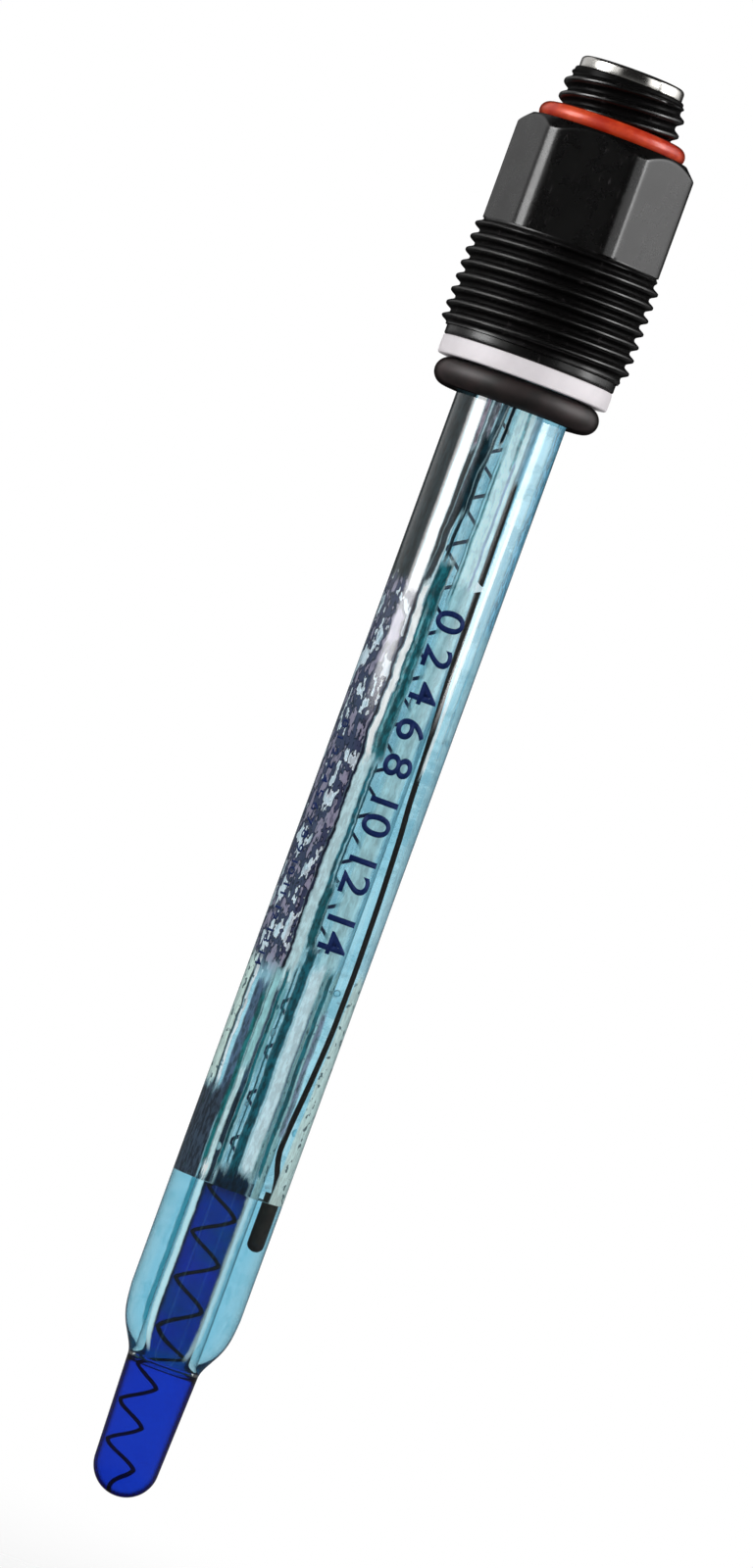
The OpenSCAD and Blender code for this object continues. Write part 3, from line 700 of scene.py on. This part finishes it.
# The rest of the old gel's look, in degrees round and mm of height
oldGel = {
    "blotTurn": (-62, 34, 3), "blotHeight": (-48, 22.5, 2),   # middle, half and softness
    "speckTurn": (60, 64), "speckHeight": (-80, 13, 1),       # specks at both sides, low down
    "rearTurn": (100, 116),          # where the clouded back begins
    "streakEnd": 0.8,                # mm over which a streak ends
    "paleTone": 150,                 # least colour value of a pale streak
    "darkDeep": 0.6, "paleDeep": 0.88,   # how bright the deep parts of dark and of pale streaks stay
}


def mottledGel():
    # Light blue gel that has dried to slate and violet blots on one side, with streaks along it, a few of
    # them painted reflections
    paint = Paint("mottledGel")
    turn = paint.turn()
    height = paint.height()
    place = paint.place()
    wander = 6 * (paint.noise(paint.joined(0.0, 0.0, height), 0.2, 3, 0.6) - 0.5)
    ragged = 2 * (paint.noise(paint.stretched(place, 1, 1, 0.26), 1.5, 5, 0.7) - 0.5)
    fine = paint.noise(paint.stretched(place, 1, 1, 0.3), 2.6, 4, 0.65)
    drawn = paint.noise(paint.stretched(place, 1, 1, 0.05), 1.6, 4, 0.6)
    edge = wander + 1.4 * ragged
    raggedHeight = height + 2 * ragged
    # blots: slate with violet-grey hearts and pale gaps, in a column on the left, with dark outlines
    column = paint.band(turn + 2 * edge, *oldGel["blotTurn"])
    column = column * paint.band(raggedHeight, *oldGel["blotHeight"])
    cells = paint.noise(paint.stretched(place, 1, 1, 0.42), 0.74, 3, 0.6)
    outline = paint.band(cells, 0.535, 0.014, 0.012).atLeast(paint.band(cells, 0.44, 0.01, 0.012))
    blotShade = paint.mix(paint.ease(cells, 0.43, 0.445), colour(228, 236, 244), colour(54, 58, 88))
    blotShade = paint.mix(paint.ease(cells, 0.53, 0.55), blotShade, colour(140, 134, 156))
    blotShade = paint.mix(paint.ease(fine, 0.5, 0.64) * 0.6, blotShade, colour(34, 40, 66))
    blotShade = paint.mix(outline, blotShade, colour(14, 18, 40))
    shade = paint.mix(column, colour(178, 226, 238), blotShade)
    cover = column * (0.96 - 0.4 * paint.ease(cells, 0.43, 0.39))
    # the back is clouded lightly
    rear = paint.ease(abs(turn), *oldGel["rearTurn"]) * paint.ease(paint.noise(place, 0.3, 4, 0.6), 0.42, 0.6)
    cover = cover.atLeast(rear * 0.55)
    for centre, lean, half, soft, low, high, wave, tone, most in gelStreaks:
        across = paint.band(turn + wave * edge * 0.5 - lean * (height - low), centre, half, soft)
        mask = across * paint.between(raggedHeight, low, high, oldGel["streakEnd"])
        share = oldGel["darkDeep"] if min(tone) < oldGel["paleTone"] else oldGel["paleDeep"]
        deep = colour(*(share * part for part in tone))
        shade = paint.mix(mask, shade, paint.mix(paint.ease(fine, 0.4, 0.6), deep, colour(*tone)))
        cover = cover * (1 - mask) + mask * most
    sides = paint.ease(abs(turn), *oldGel["speckTurn"]) * paint.band(height, *oldGel["speckHeight"])
    specks = paint.ease(paint.noise(place, 1.25, 2), 0.6, 0.64) * sides
    shade = paint.mix(specks * 0.9, shade, colour(34, 58, 64))
    clearShade = paint.mix(paint.ease(drawn, 0.35, 0.65), colour(214, 240, 248), colour(255, 255, 255))
    # the dried parts carry a painted glow
    surface = paint.blend(cover, wetSurface(paint, clearShade), driedGelWithPaintedGlow(paint, shade))
    return steeped(paint, surface, gelTint["upper"])


finishes = {
    "black_plastic": blackPlastic(),
    "nickel": nickelPlate(),
    "gold_plate": cloudedMetal("goldPlate", 1.2, colour(214, 168, 88), colour(238, 200, 122), 0.2, 0.12),
    "ivory_plastic": palePlastic("ivoryPlastic", colour(208, 203, 186), colour(232, 228, 214)),
    "white_plastic": palePlastic("lilacPlastic", colour(208, 202, 206), colour(232, 227, 230)),
    "orange_rubber": rubber("orangeRubber", colour(178, 36, 6), colour(216, 74, 28), 0.27),
    "dark_rubber": rubber("darkRubber", colour(12, 11, 10), colour(38, 26, 26), 0.5),
    "red_rubber": rubber("redRubber", colour(150, 62, 40), colour(186, 84, 56), 0.5),
    "pale_rubber": rubber("paleRubber", colour(206, 204, 192), colour(228, 226, 216), 0.5),
    "resin": rubber("pottingResin", colour(44, 40, 38), colour(66, 60, 56), 0.3),
    # the rim colours of both glasses are painted shade at their edges
    "clear_glass": glass("clearGlass", colour(250, 254, 255), colour(150, 190, 200), shadedHeights=(-112.3, -106.5)),
    "membrane_glass": glass("membraneGlass", colour(236, 244, 255), colour(0, 0, 60), edge=(0.36, 0.6)),
    "blue_buffer": blueBuffer(),
    "clear_gel": clearGel(),
    "mottled_gel": mottledGel(),
    "dark_wire": darkFinish("darkWire", colour(4, 10, 70), colour(12, 24, 104), 0.35),
    "white_bead": beadWithPaintedGlow(),
    "dark_fill": darkFinish("darkFill", colour(34, 28, 32), colour(66, 56, 58), 0.4),
    "solder": cloudedMetal("tinSolder", 3, colour(150, 152, 156), colour(206, 208, 212), 0.28, 0.2),
}
ownFinishes = {   # of pieces that look unlike the rest of their slot
    "lead": darkFinish("leadFinish", colour(8, 10, 10), colour(48, 28, 20), 0.35),
    "ink": darkFinish("blueInk", colour(0, 18, 62), colour(4, 34, 88), 0.5),
    "sleeve": darkFinish("sleeveFinish", colour(28, 22, 20), colour(76, 62, 50), 0.3),
}
print("finishes made:", len(finishes) + len(ownFinishes))


def dress(piece, slot, nodes=(), finish=None, body="electrode"):
    # The piece takes its finish, rides on its body and stands for its solids
    piece.data.materials.clear()
    piece.data.materials.append(finish or finishes[slot])
    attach(piece, body)
    if nodes:
        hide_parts(*nodes)
    return piece


for name, node in cadNodes.items():
    slotNow = next(row["material_slot"] for row in frame["record"]["subparts"] if row["node"] == name)
    for i in range(len(node.data.materials)):
        node.data.materials[i] = finishes[slotNow]
cadNodes["reference_lead"].data.materials[0] = ownFinishes["lead"]
cadNodes["cartridge_sleeve"].data.materials[0] = ownFinishes["sleeve"]


# Plug head: one closed skin whose outer profile changes with the turn, for helical threads and the hexagon

head = {
    "columns": 300, "rowGap": 0.1,
    "neckRadius": 9.3, "neckStart": 0.4, "neckGap": 0.08,
    "threadRoot": 9.5, "threadPitch": 1.458, "threadPhase": 0.52, "rowsPerPitch": 16,
    "crestFlat": 0.1, "valley": 0.86, "threadLow": -0.9, "threadRunOut": 0.8,
    "hexLow": 10.8, "hexLength": 11.9, "hexAcross": 17.5, "hexTurn": -7.5, "cornerRadius": 9.7,
    "hexGap": 0.02, "hexStart": 0.3, "hexRows": 12, "chamfer": 1.2, "chamferRoom": 1.0, "chamferRows": 22,
    "edge": 0.16, "cornerEdge": 0.2, "seatRadius": 7.85, "seatDepth": 0.35,
    "spigotRadius": 5.95, "spigotRows": 72, "bevel": (0.1, 0.12),   # the bevel's width and height
    "cableCrest": 6.6, "cablePitch": 1.6, "cableStarts": 2, "cablePhase": 25.4,
    "cableLow": 23.1, "cableHigh": 28.5, "cableRunOut": 0.5,
    "sleeveBore": 5.12, "ledge": 20.0, "cavity": 4.3, "shaftBore": 6.02,
}


def ridge(height, turn, pitch, starts, phase):
    # 1 on a crest and 0 in a valley of a right-hand thread: a trapezium with eased flanks
    share = (height - phase) / pitch - starts * turn / 360
    away = 2 * np.abs(share - np.round(share))
    return smoothStep((head["valley"] - away) / (head["valley"] - head["crestFlat"]))


def runOut(height, low, high, length):
    # 1 along a thread, eased to 0 over a length at both its ends
    return smoothStep((height - low) / length) * smoothStep((high - height) / length)


def makeHead():
    turn = np.linspace(0, 360, head["columns"], endpoint=False)[None]
    blocks = []

    def rows(value):
        # One value, or one for each row, as a column; a whole grid stays as it is
        value = np.atleast_1d(np.asarray(value, float))
        return value[:, None] if value.ndim == 1 else value

    def add(radius, height):
        blocks.append(np.broadcast_arrays(rows(radius), rows(height), turn)[:2])

    low, tubeTop = lowEdge("plug_head", 2), highEdge("shaft_tube", 2)
    spigotTop, crest = highEdge("plug_head", 2), highEdge("plug_head", 0)
    edge, neck, root, spigot = head["edge"], head["neckRadius"], head["threadRoot"], head["spigotRadius"]
    # bottom face and neck
    arc = np.radians(np.linspace(0, 90, arcPoints))
    add([head["shaftBore"], neck - edge], [low, low])
    add(neck - edge + edge * np.sin(arc), low + edge - edge * np.cos(arc))
    add(neck, np.linspace(low + head["neckStart"], head["threadLow"] - head["neckGap"], 3))
    # gland thread
    threadRows = int((head["hexLow"] - head["threadLow"]) / head["threadPitch"] * head["rowsPerPitch"])
    z = np.linspace(head["threadLow"], head["hexLow"], threadRows)[:, None]
    lift = ridge(z, turn, head["threadPitch"], 1, head["threadPhase"])
    add(root + (crest - root) * lift * runOut(z, head["threadLow"], head["hexLow"], head["threadRunOut"]), z)
    # hexagon with turned corners and a chamfered top
    around = (turn - head["hexTurn"]) % 60 - 30
    flat = head["hexAcross"] / 2 / np.cos(np.radians(around))
    hexagon = softMin(flat, head["cornerRadius"], head["cornerEdge"])
    hexTop = head["hexLow"] + head["hexLength"]
    straightTop = hexTop - head["chamfer"] - head["chamferRoom"]
    add(hexagon, head["hexLow"] + head["hexGap"])
    z = np.concatenate([np.linspace(head["hexLow"] + head["hexStart"], straightTop, head["hexRows"]),
                        np.linspace(straightTop + head["rowGap"], hexTop, head["chamferRows"])])[:, None]
    cone = head["cornerRadius"] + hexTop - head["chamfer"] - z
    add(softMin(hexagon, cone, edge), z)
    # seat of the O-ring, then the spigot with its two-start cable thread
    seat = hexTop - head["seatDepth"]
    inset, drop = head["bevel"]
    add([head["seatRadius"], head["seatRadius"], spigot], [hexTop, seat, seat])
    z = np.linspace(seat + head["rowGap"], spigotTop - drop, head["spigotRows"])[:, None]
    lift = ridge(z, turn, head["cablePitch"], head["cableStarts"], head["cablePhase"])
    lift = lift * runOut(z, head["cableLow"], head["cableHigh"], head["cableRunOut"])
    add(spigot + (head["cableCrest"] - spigot) * lift, z)
    add([spigot - inset, head["sleeveBore"]], [spigotTop, spigotTop])
    # inside, from the top down
    add([head["sleeveBore"], head["cavity"], head["cavity"], head["shaftBore"]],
        [head["ledge"], head["ledge"], tubeTop, tubeTop])
    radius, height = (np.concatenate([block[i] for block in blocks]) for i in (0, 1))
    moulding = skin("headMoulding", polar(turn, radius, height), wrapRows=True, crease=38.0)
    return dress(moulding, "black_plastic", ["plug_head"])


makeHead()
print("plug head made")


# Connector ring, collar

ring = {
    "sleeve": 5.1, "sleeveEdge": 0.05, "bore": 4.5, "innerEdge": 0.18, "seat": 4.7, "socketFloor": 25.1,
    "rimGap": 0.01, "rimUnder": 0.06, "rimEdge": 0.5,
}
collar = {"edge": 0.22, "boreEdge": 0.12, "clearance": 0.06}


def makeRing():
    low, top = lowEdge("shield_contact_ring", 2), highEdge("shield_contact_ring", 2)
    rim, under = highEdge("shield_contact_ring", 0), highEdge("plug_head", 2) + ring["rimGap"]
    outline = filleted([
        (ring["sleeve"], low, ring["sleeveEdge"]), (ring["sleeve"], under, 0),
        (rim, under, ring["rimUnder"]), (rim, top, ring["rimEdge"]),
        (ring["bore"], top, ring["innerEdge"]), (ring["bore"], ring["socketFloor"], 0),
        (ring["seat"], ring["socketFloor"], 0), (ring["seat"], low, 0),
    ])
    return dress(lathe("connectorRing", outline, ringColumns), "nickel", ["shield_contact_ring"])


def makeCollar():
    low, top = lowEdge("thrust_collar", 2), highEdge("thrust_collar", 2)
    outer, bore = highEdge("thrust_collar", 0), highEdge("shaft_tube", 0) + collar["clearance"]
    outline = filleted([(outer, low, collar["edge"]), (outer, top, collar["edge"]),
                        (bore, top, collar["boreEdge"]), (bore, low, collar["boreEdge"])])
    return dress(lathe("collarRing", outline, ringColumns), "white_plastic", ["thrust_collar"], body="collar")


makeRing()
makeCollar()
print("ring and collar made")


# Glass and what it holds. Each filling reaches a little into the glass that it wets, so that light crosses
# from one to the other with no film of air between them.

glassware = {
    "shaftRadius": highEdge("shaft_tube", 0), "shaftWall": 1.0, "shaftTop": highEdge("shaft_tube", 2),
    "topEdge": 0.3, "foot": lowEdge("shaft_tube", 2), "shoulder": 7.0, "shoulderSteps": 33,
    "footRadius": highEdge("membrane_bulb", 0), "footWall": 0.5, "taper": 0.25, "ease": 1.8,
    "apertureShare": 0.68, "aperture": 1.0, "drillHalf": 9.0, "drillSides": 32,
    "tubeRadius": 2.5, "tubeBore": 1.65, "tubeTop": highEdge("inner_tube", 2),
    "flare": 1.6, "flareOut": 3.32, "flareIn": 2.82, "flareSteps": 13,
    "tip": lowEdge("membrane_bulb", 2), "endRadius": 3.45, "endSteps": 33, "bulbWall": 0.5, "rimBlend": 1.0,
    "wetting": 0.025, "joint": 0.01,
}
gels = {
    "line": highEdge("lower_gel", 2), "top": highEdge("upper_gel", 2), "lowShare": 0.95,
    "overlap": 0.02, "shoulderSteps": 30, "flareSteps": 8,
    "bufferTop": highEdge("inner_buffer", 2), "meniscus": 0.45, "meniscusSteps": 9,
    "bubbles": 46, "seed": 7, "bubbleSize": (0.1, 0.34), "bubbleStretch": (1.0, 2.4),
    "bubbleRadii": (3.3, 4.5), "bubbleHeights": (2.0, -22.0),   # the lower one counts from the level line
    "leftShare": 0.75, "leftAngles": (-165, -60),               # most of them are at the left
}


def shoulderRadius(t):
    # A light taper plus a half-cosine step that comes late, t from 0 at the straight glass to 1 at the foot
    step = (1 - np.cos(np.pi * t ** glassware["ease"])) / 2
    drop = glassware["taper"] * t + (1 - glassware["taper"]) * step
    return glassware["shaftRadius"] - (glassware["shaftRadius"] - glassware["footRadius"]) * drop


def shoulderBore(t):
    return shoulderRadius(t) - glassware["shaftWall"] * (1 - t) - glassware["footWall"] * t


def shoulderHeight(t):
    return glassware["foot"] + glassware["shoulder"] * (1 - t)


def flareRadius(t, straight, end):
    # From the straight tube out to the foot as the square of t
    return straight + (end - straight) * t * t


def makeShaftGlass():
    # Up the shoulder and the straight outside, over the rim, down the bore, and then the apertures are cut
    t = np.linspace(0, 1, glassware["shoulderSteps"])
    radius, foot = glassware["shaftRadius"], glassware["foot"]
    top, edge = glassware["shaftTop"], glassware["topEdge"]
    bore = radius - glassware["shaftWall"]
    section = filleted([(radius, top, edge), (bore, top, edge), (bore, foot, 0), (radius, foot, 0)])
    outline = np.concatenate([
        points(shoulderRadius(t), shoulderHeight(t))[::-1],
        section[:2 * arcPoints],   # the rim alone
        points(shoulderBore(t), shoulderHeight(t)),
    ])
    shaft = lathe("shaftGlass", outline)
    drill = cylinder("drill", glassware["aperture"] / 2, glassware["drillHalf"], glassware["drillSides"])
    height = float(shoulderHeight(glassware["apertureShare"])) * metresPerMm
    drill.data.transform(Matrix.Translation((0, 0, height)) @ Matrix.Rotation(math.pi / 2, 4, "Y"))
    cut = shaft.modifiers.new("apertures", "BOOLEAN")
    cut.object, cut.operation, cut.solver = drill, "DIFFERENCE", "EXACT"
    cutMesh = evaluatedMesh(shaft)
    shaft.modifiers.clear()
    shaft.data = cutMesh
    bpy.data.objects.remove(drill)
    return dress(shaft, "clear_glass", ["shaft_tube"])


def makeInnerGlass():
    # A straight tube whose lower end flares out to meet the foot of the shaft
    t = np.linspace(0, 1, glassware["flareSteps"])
    height = glassware["foot"] + glassware["flare"] * (1 - t) + glassware["joint"]
    outline = np.concatenate([
        points(flareRadius(t, glassware["tubeRadius"], glassware["flareOut"]), height)[::-1],
        points(np.array([glassware["tubeRadius"], glassware["tubeBore"]]), glassware["tubeTop"]),
        points(flareRadius(t, glassware["tubeBore"], glassware["flareIn"]), height),
    ])
    return dress(lathe("innerGlass", outline, ringColumns), "clear_glass", ["inner_tube"])


def bulbInside(grow):
    # Inside of the bulb from its fused rim down to the tip, grown by a little for what wets it
    inner = glassware["endRadius"] - glassware["bulbWall"] + grow
    centre = glassware["tip"] + glassware["endRadius"]
    a = np.radians(np.linspace(0, 90, glassware["endSteps"]))
    side = glassware["footRadius"] - glassware["bulbWall"] + grow
    rim = [[glassware["flareIn"] + grow, glassware["foot"] - glassware["joint"]],
           [side, glassware["foot"] - glassware["rimBlend"]]]
    return np.concatenate([rim, points(inner * np.cos(a), centre - inner * np.sin(a))])


def makeBulb():
    # A quarter circle from the tip out, a straight side up to the fused rim, and back down the inside
    a = np.radians(np.linspace(90, 0, glassware["endSteps"]))
    centre = glassware["tip"] + glassware["endRadius"]
    outside = points(glassware["endRadius"] * np.cos(a), centre - glassware["endRadius"] * np.sin(a))
    rim = [[glassware["footRadius"], glassware["foot"] - glassware["joint"]]]
    outline = np.concatenate([outside, rim, bulbInside(0.0)])
    return dress(lathe("bulbGlass", outline, ringColumns, closed=False), "membrane_glass", ["membrane_bulb"])


def makeBuffer():
    # Fills the bulb, the flare and the tube; its top sinks towards the axis by the fourth power of the radius
    t = np.linspace(1, 0, glassware["flareSteps"])
    grow = glassware["wetting"]
    bore = glassware["tubeBore"] + grow
    across = np.linspace(1, 0, gels["meniscusSteps"])
    outline = np.concatenate([
        bulbInside(grow)[::-1],
        points(flareRadius(t, glassware["tubeBore"], glassware["flareIn"]) + grow,
               glassware["foot"] + glassware["flare"] * (1 - t) + glassware["joint"]),
        points(bore * across, gels["bufferTop"] + gels["meniscus"] * (across ** 4 - 1)),
    ])
    return dress(lathe("blueFilling", outline, ringColumns, closed=False), "blue_buffer", ["inner_buffer"])


def makeLowerGel():
    # Between the shoulder's bore and the flared inner tube, from near the foot up to the level line
    t = np.linspace(gels["lowShare"], 0, gels["shoulderSteps"])
    grow = glassware["wetting"]
    low = float(shoulderHeight(gels["lowShare"]))
    flareShare = 1 - (low - glassware["foot"]) / glassware["flare"]
    inner = glassware["tubeRadius"] - grow
    s = np.linspace(0, flareShare, gels["flareSteps"])
    flare = flareRadius(s, inner, glassware["flareOut"] - grow)
    outline = np.concatenate([
        points(shoulderBore(t) + grow, shoulderHeight(t)),
        points(np.array([shoulderBore(0.0) + grow, inner]), gels["line"]),
        points(flare, glassware["foot"] + glassware["flare"] * (1 - s)),
    ])
    return dress(lathe("lowerGelFilling", outline, ringColumns), "clear_gel", ["lower_gel"])


def bubbleShells():
    # Voids in the gel: small upright ellipsoids, turned inside out because their outside is the gel
    random = np.random.default_rng(gels["seed"])
    count = gels["bubbles"]
    size = random.uniform(*gels["bubbleSize"], count)
    isLeft = random.random(count) < gels["leftShare"]
    leftAngle = random.uniform(*gels["leftAngles"], count)
    anyAngle = random.uniform(-180, 180, count)
    radius = random.uniform(*gels["bubbleRadii"], count)
    low, high = gels["bubbleHeights"]
    height = random.uniform(gels["line"] + low, high, count)
    centre = polar(np.where(isLeft, leftAngle, anyAngle), radius, height)
    stretch = np.stack([size, size, size * random.uniform(*gels["bubbleStretch"], count)], -1)
    lift = np.radians(np.linspace(-90, 90, 9))
    ball = revolve(points(np.cos(lift), np.sin(lift)), 14)
    return centre[:, None, None] + ball[None] * stretch[:, None, None]


def makeUpperGel():
    # A plain ring between both glasses, with the shells of the voids joined in
    grow = glassware["wetting"]
    outer, inner = glassware["shaftRadius"] - glassware["shaftWall"] + grow, glassware["tubeRadius"] - grow
    low, top = gels["line"] - gels["overlap"], gels["top"]
    gel = lathe("upperGelFilling", [(outer, low), (outer, top), (inner, top), (inner, low)])
    shells = bubbleShells()
    rows, columns = shells.shape[1:3]
    index = np.arange(shells.shape[0] * rows * columns).reshape(-1, rows, columns)
    below, above = index[:, :-1], index[:, 1:]
    quads = np.stack([below, above, np.roll(above, -1, 2), np.roll(below, -1, 2)], -1).reshape(-1, 4)
    voids = meshObject("voids", shells.reshape(-1, 3), quads, 60.0)
    work = bmesh.new()
    work.from_mesh(gel.data)
    work.from_mesh(voids.data)
    work.to_mesh(gel.data)
    work.free()
    bpy.data.objects.remove(voids)
    return dress(gel, "mottled_gel", ["upper_gel"])


makeShaftGlass()
makeInnerGlass()
makeBulb()
makeBuffer()
makeLowerGel()
makeUpperGel()
print("glass, buffer and gels made")


# Spiral wire and reference lead

spiral = {
    "wire": 0.19, "sides": 10, "step": 12.0, "pitch": 5.0, "bulbPitch": 4.4,
    "tubeRadius": 1.4, "bulbRadius": 1.2, "lean": 1.05, "leanIn": 3.0, "leanOut": 6.0,
    "turnHeight": glassware["foot"] + 4.2, "low": -125.85, "top": 5.0, "tipShare": 0.35, "tipTurn": 240.0,
    "pinch": 0.5, "depth": 0.85,   # how straight the zigzag is, and its depth against its width
    "straightGap": 0.3, "end": 18.6, "straightSteps": 8,
}
lead = {
    "wire": 0.29, "sides": 10, "steps": 420, "smoothing": 1.2, "smoothSteps": 9,
    # heights in mm, with the angle from the X axis and the radius there
    "heights": [19.9, 17.9, 15.0, 2.0, -13.3, -25.7, -36, -43.5, -49.5, -52,
                -60, -67, -74, -79, -82, -85, -88, -91.6, -93.0],
    "angles": [-40, -40, -40, -40, -50.6, -45.5, -42.3, -35.1, -31.5, -27,
               -20, -17, -19, -26, -31, -36, -38, -6, -4],
    "radii": [4.8, 4.8, 3.75, 3.75, 4.1, 3.97, 4.1, 4.1] + [4.15] * 9 + [3.75] * 2,
}


def makeWire():
    # Right-hand spiral: point = centre + radius * (cos a, sin a), height rising with a by one pitch in a turn
    low = 180 + 360 * (spiral["low"] - spiral["turnHeight"]) / spiral["bulbPitch"]
    top = 180 + 360 * (spiral["top"] - spiral["turnHeight"]) / spiral["pitch"]
    a = np.arange(low, top, spiral["step"])
    height = spiral["turnHeight"] + (a - 180) / 360 * np.where(a < 180, spiral["bulbPitch"], spiral["pitch"])
    inBulb = np.clip((glassware["foot"] - height) / spiral["leanIn"] + 0.5, 0, 1)
    centre = -spiral["lean"] * inBulb * np.clip((height - glassware["tip"]) / spiral["leanOut"], 0, 1)
    opening = np.clip(spiral["tipShare"] + (a - low) / spiral["tipTurn"], 0, 1)
    share = np.minimum(np.clip((top - a) / 360, 0, 1), opening)
    radius = (spiral["tubeRadius"] + (spiral["bulbRadius"] - spiral["tubeRadius"]) * inBulb) * share
    # pinched at its left and right turns: a share of the cosine gives way to a straight zigzag
    turnShare = np.cos(np.radians(a))
    across = (1 - spiral["pinch"]) * turnShare + spiral["pinch"] * np.arcsin(turnShare) * 2 / np.pi
    along = spiral["depth"] * radius * np.sin(np.radians(a))
    coil = np.stack([centre + radius * across, along, height], -1)
    steps = spiral["straightSteps"]
    straight = np.zeros((steps, 3))
    straight[:, 2] = np.linspace(spiral["top"] + spiral["straightGap"], spiral["end"], steps)
    guide = polar(np.concatenate([a, np.full(steps, a[-1])]), 1.0, 0.0)
    wire = sweep("spiralWire", np.concatenate([coil, straight]), spiral["wire"], spiral["sides"], guide)
    return dress(wire, "dark_wire", ["electrode_wire"])


def makeLead():
    # Angle and radius are read off the bends at each height and smoothed over a short stretch
    heights = np.array(lead["heights"])
    z = np.linspace(heights[0], heights[-1], lead["steps"])
    around = np.linspace(-lead["smoothing"], lead["smoothing"], lead["smoothSteps"])
    spread = np.clip(z[:, None] + around, heights[-1], heights[0])
    angle, radius = (np.interp(-spread, -heights, lead[key]).mean(1) for key in ("angles", "radii"))
    guide = np.tile([[1.0, 0.0, 0.0]], (len(z), 1))
    wire = sweep("leadWire", polar(angle, radius, z), lead["wire"], lead["sides"], guide)
    return dress(wire, "dark_wire", ["reference_lead"], ownFinishes["lead"])


makeWire()
makeLead()
print("wire and lead made")


# Plain numbers printed on the glass, reading downwards

prints = {
    "rangeMarks": {"words": "0 2 4 6 8 10 12 14", "size": 4.4, "bold": 0.05,
                   "start": -28.8, "length": 37.6, "turn": 14.0},
    "fineMarks": {"words": "0 1 2 3 4 5 6 7 8 9 10 11 12 13 14", "size": 1.7, "bold": 0.02,
                  "start": -43.0, "length": 27.0, "turn": -58.0},
}
printing = {"lift": 0.004, "ink": 0.012, "slices": 14}


def makePrint(name, marks):
    # The flat letters are cut into strips and rolled round the glass: x runs down it and y round it
    text = bpy.data.curves.new(name, "FONT")
    text.body, text.size, text.align_y = marks["words"], marks["size"], "CENTER"
    text.offset = marks["bold"]
    holder = bpy.data.objects.new(name, text)
    bpy.context.scene.collection.objects.link(holder)
    mesh = evaluatedMesh(holder)
    bpy.data.objects.remove(holder)
    work = bmesh.new()
    work.from_mesh(mesh)
    bmesh.ops.remove_doubles(work, verts=work.verts, dist=1e-5)
    for y in np.linspace(-marks["size"] / 2, marks["size"] / 2, printing["slices"] + 1):
        everything = work.verts[:] + work.edges[:] + work.faces[:]
        bmesh.ops.bisect_plane(work, geom=everything, plane_co=(0, y, 0), plane_no=(0, 1, 0))
    work.to_mesh(mesh)
    work.free()
    flat = np.empty(len(mesh.vertices) * 3)
    mesh.vertices.foreach_get("co", flat)
    flat = flat.reshape(-1, 3)
    along = (flat[:, 0] - flat[:, 0].min()) / np.ptp(flat[:, 0]) * marks["length"]
    radius = glassware["shaftRadius"] + printing["lift"]
    angle = marks["turn"] - 90 + np.degrees(flat[:, 1] / radius)
    rolled = polar(angle, radius, marks["start"] - along)
    mesh.vertices.foreach_set("co", (rolled * metresPerMm).ravel())
    mesh.update()
    letters = bpy.data.objects.new(name, mesh)
    bpy.context.scene.collection.objects.link(letters)
    ink = letters.modifiers.new("ink", "SOLIDIFY")
    ink.thickness, ink.offset = printing["ink"] * metresPerMm, 1.0
    return dress(letters, None, finish=ownFinishes["ink"])


for printName, printMarks in prints.items():
    makePrint(printName, printMarks)
print("print made")
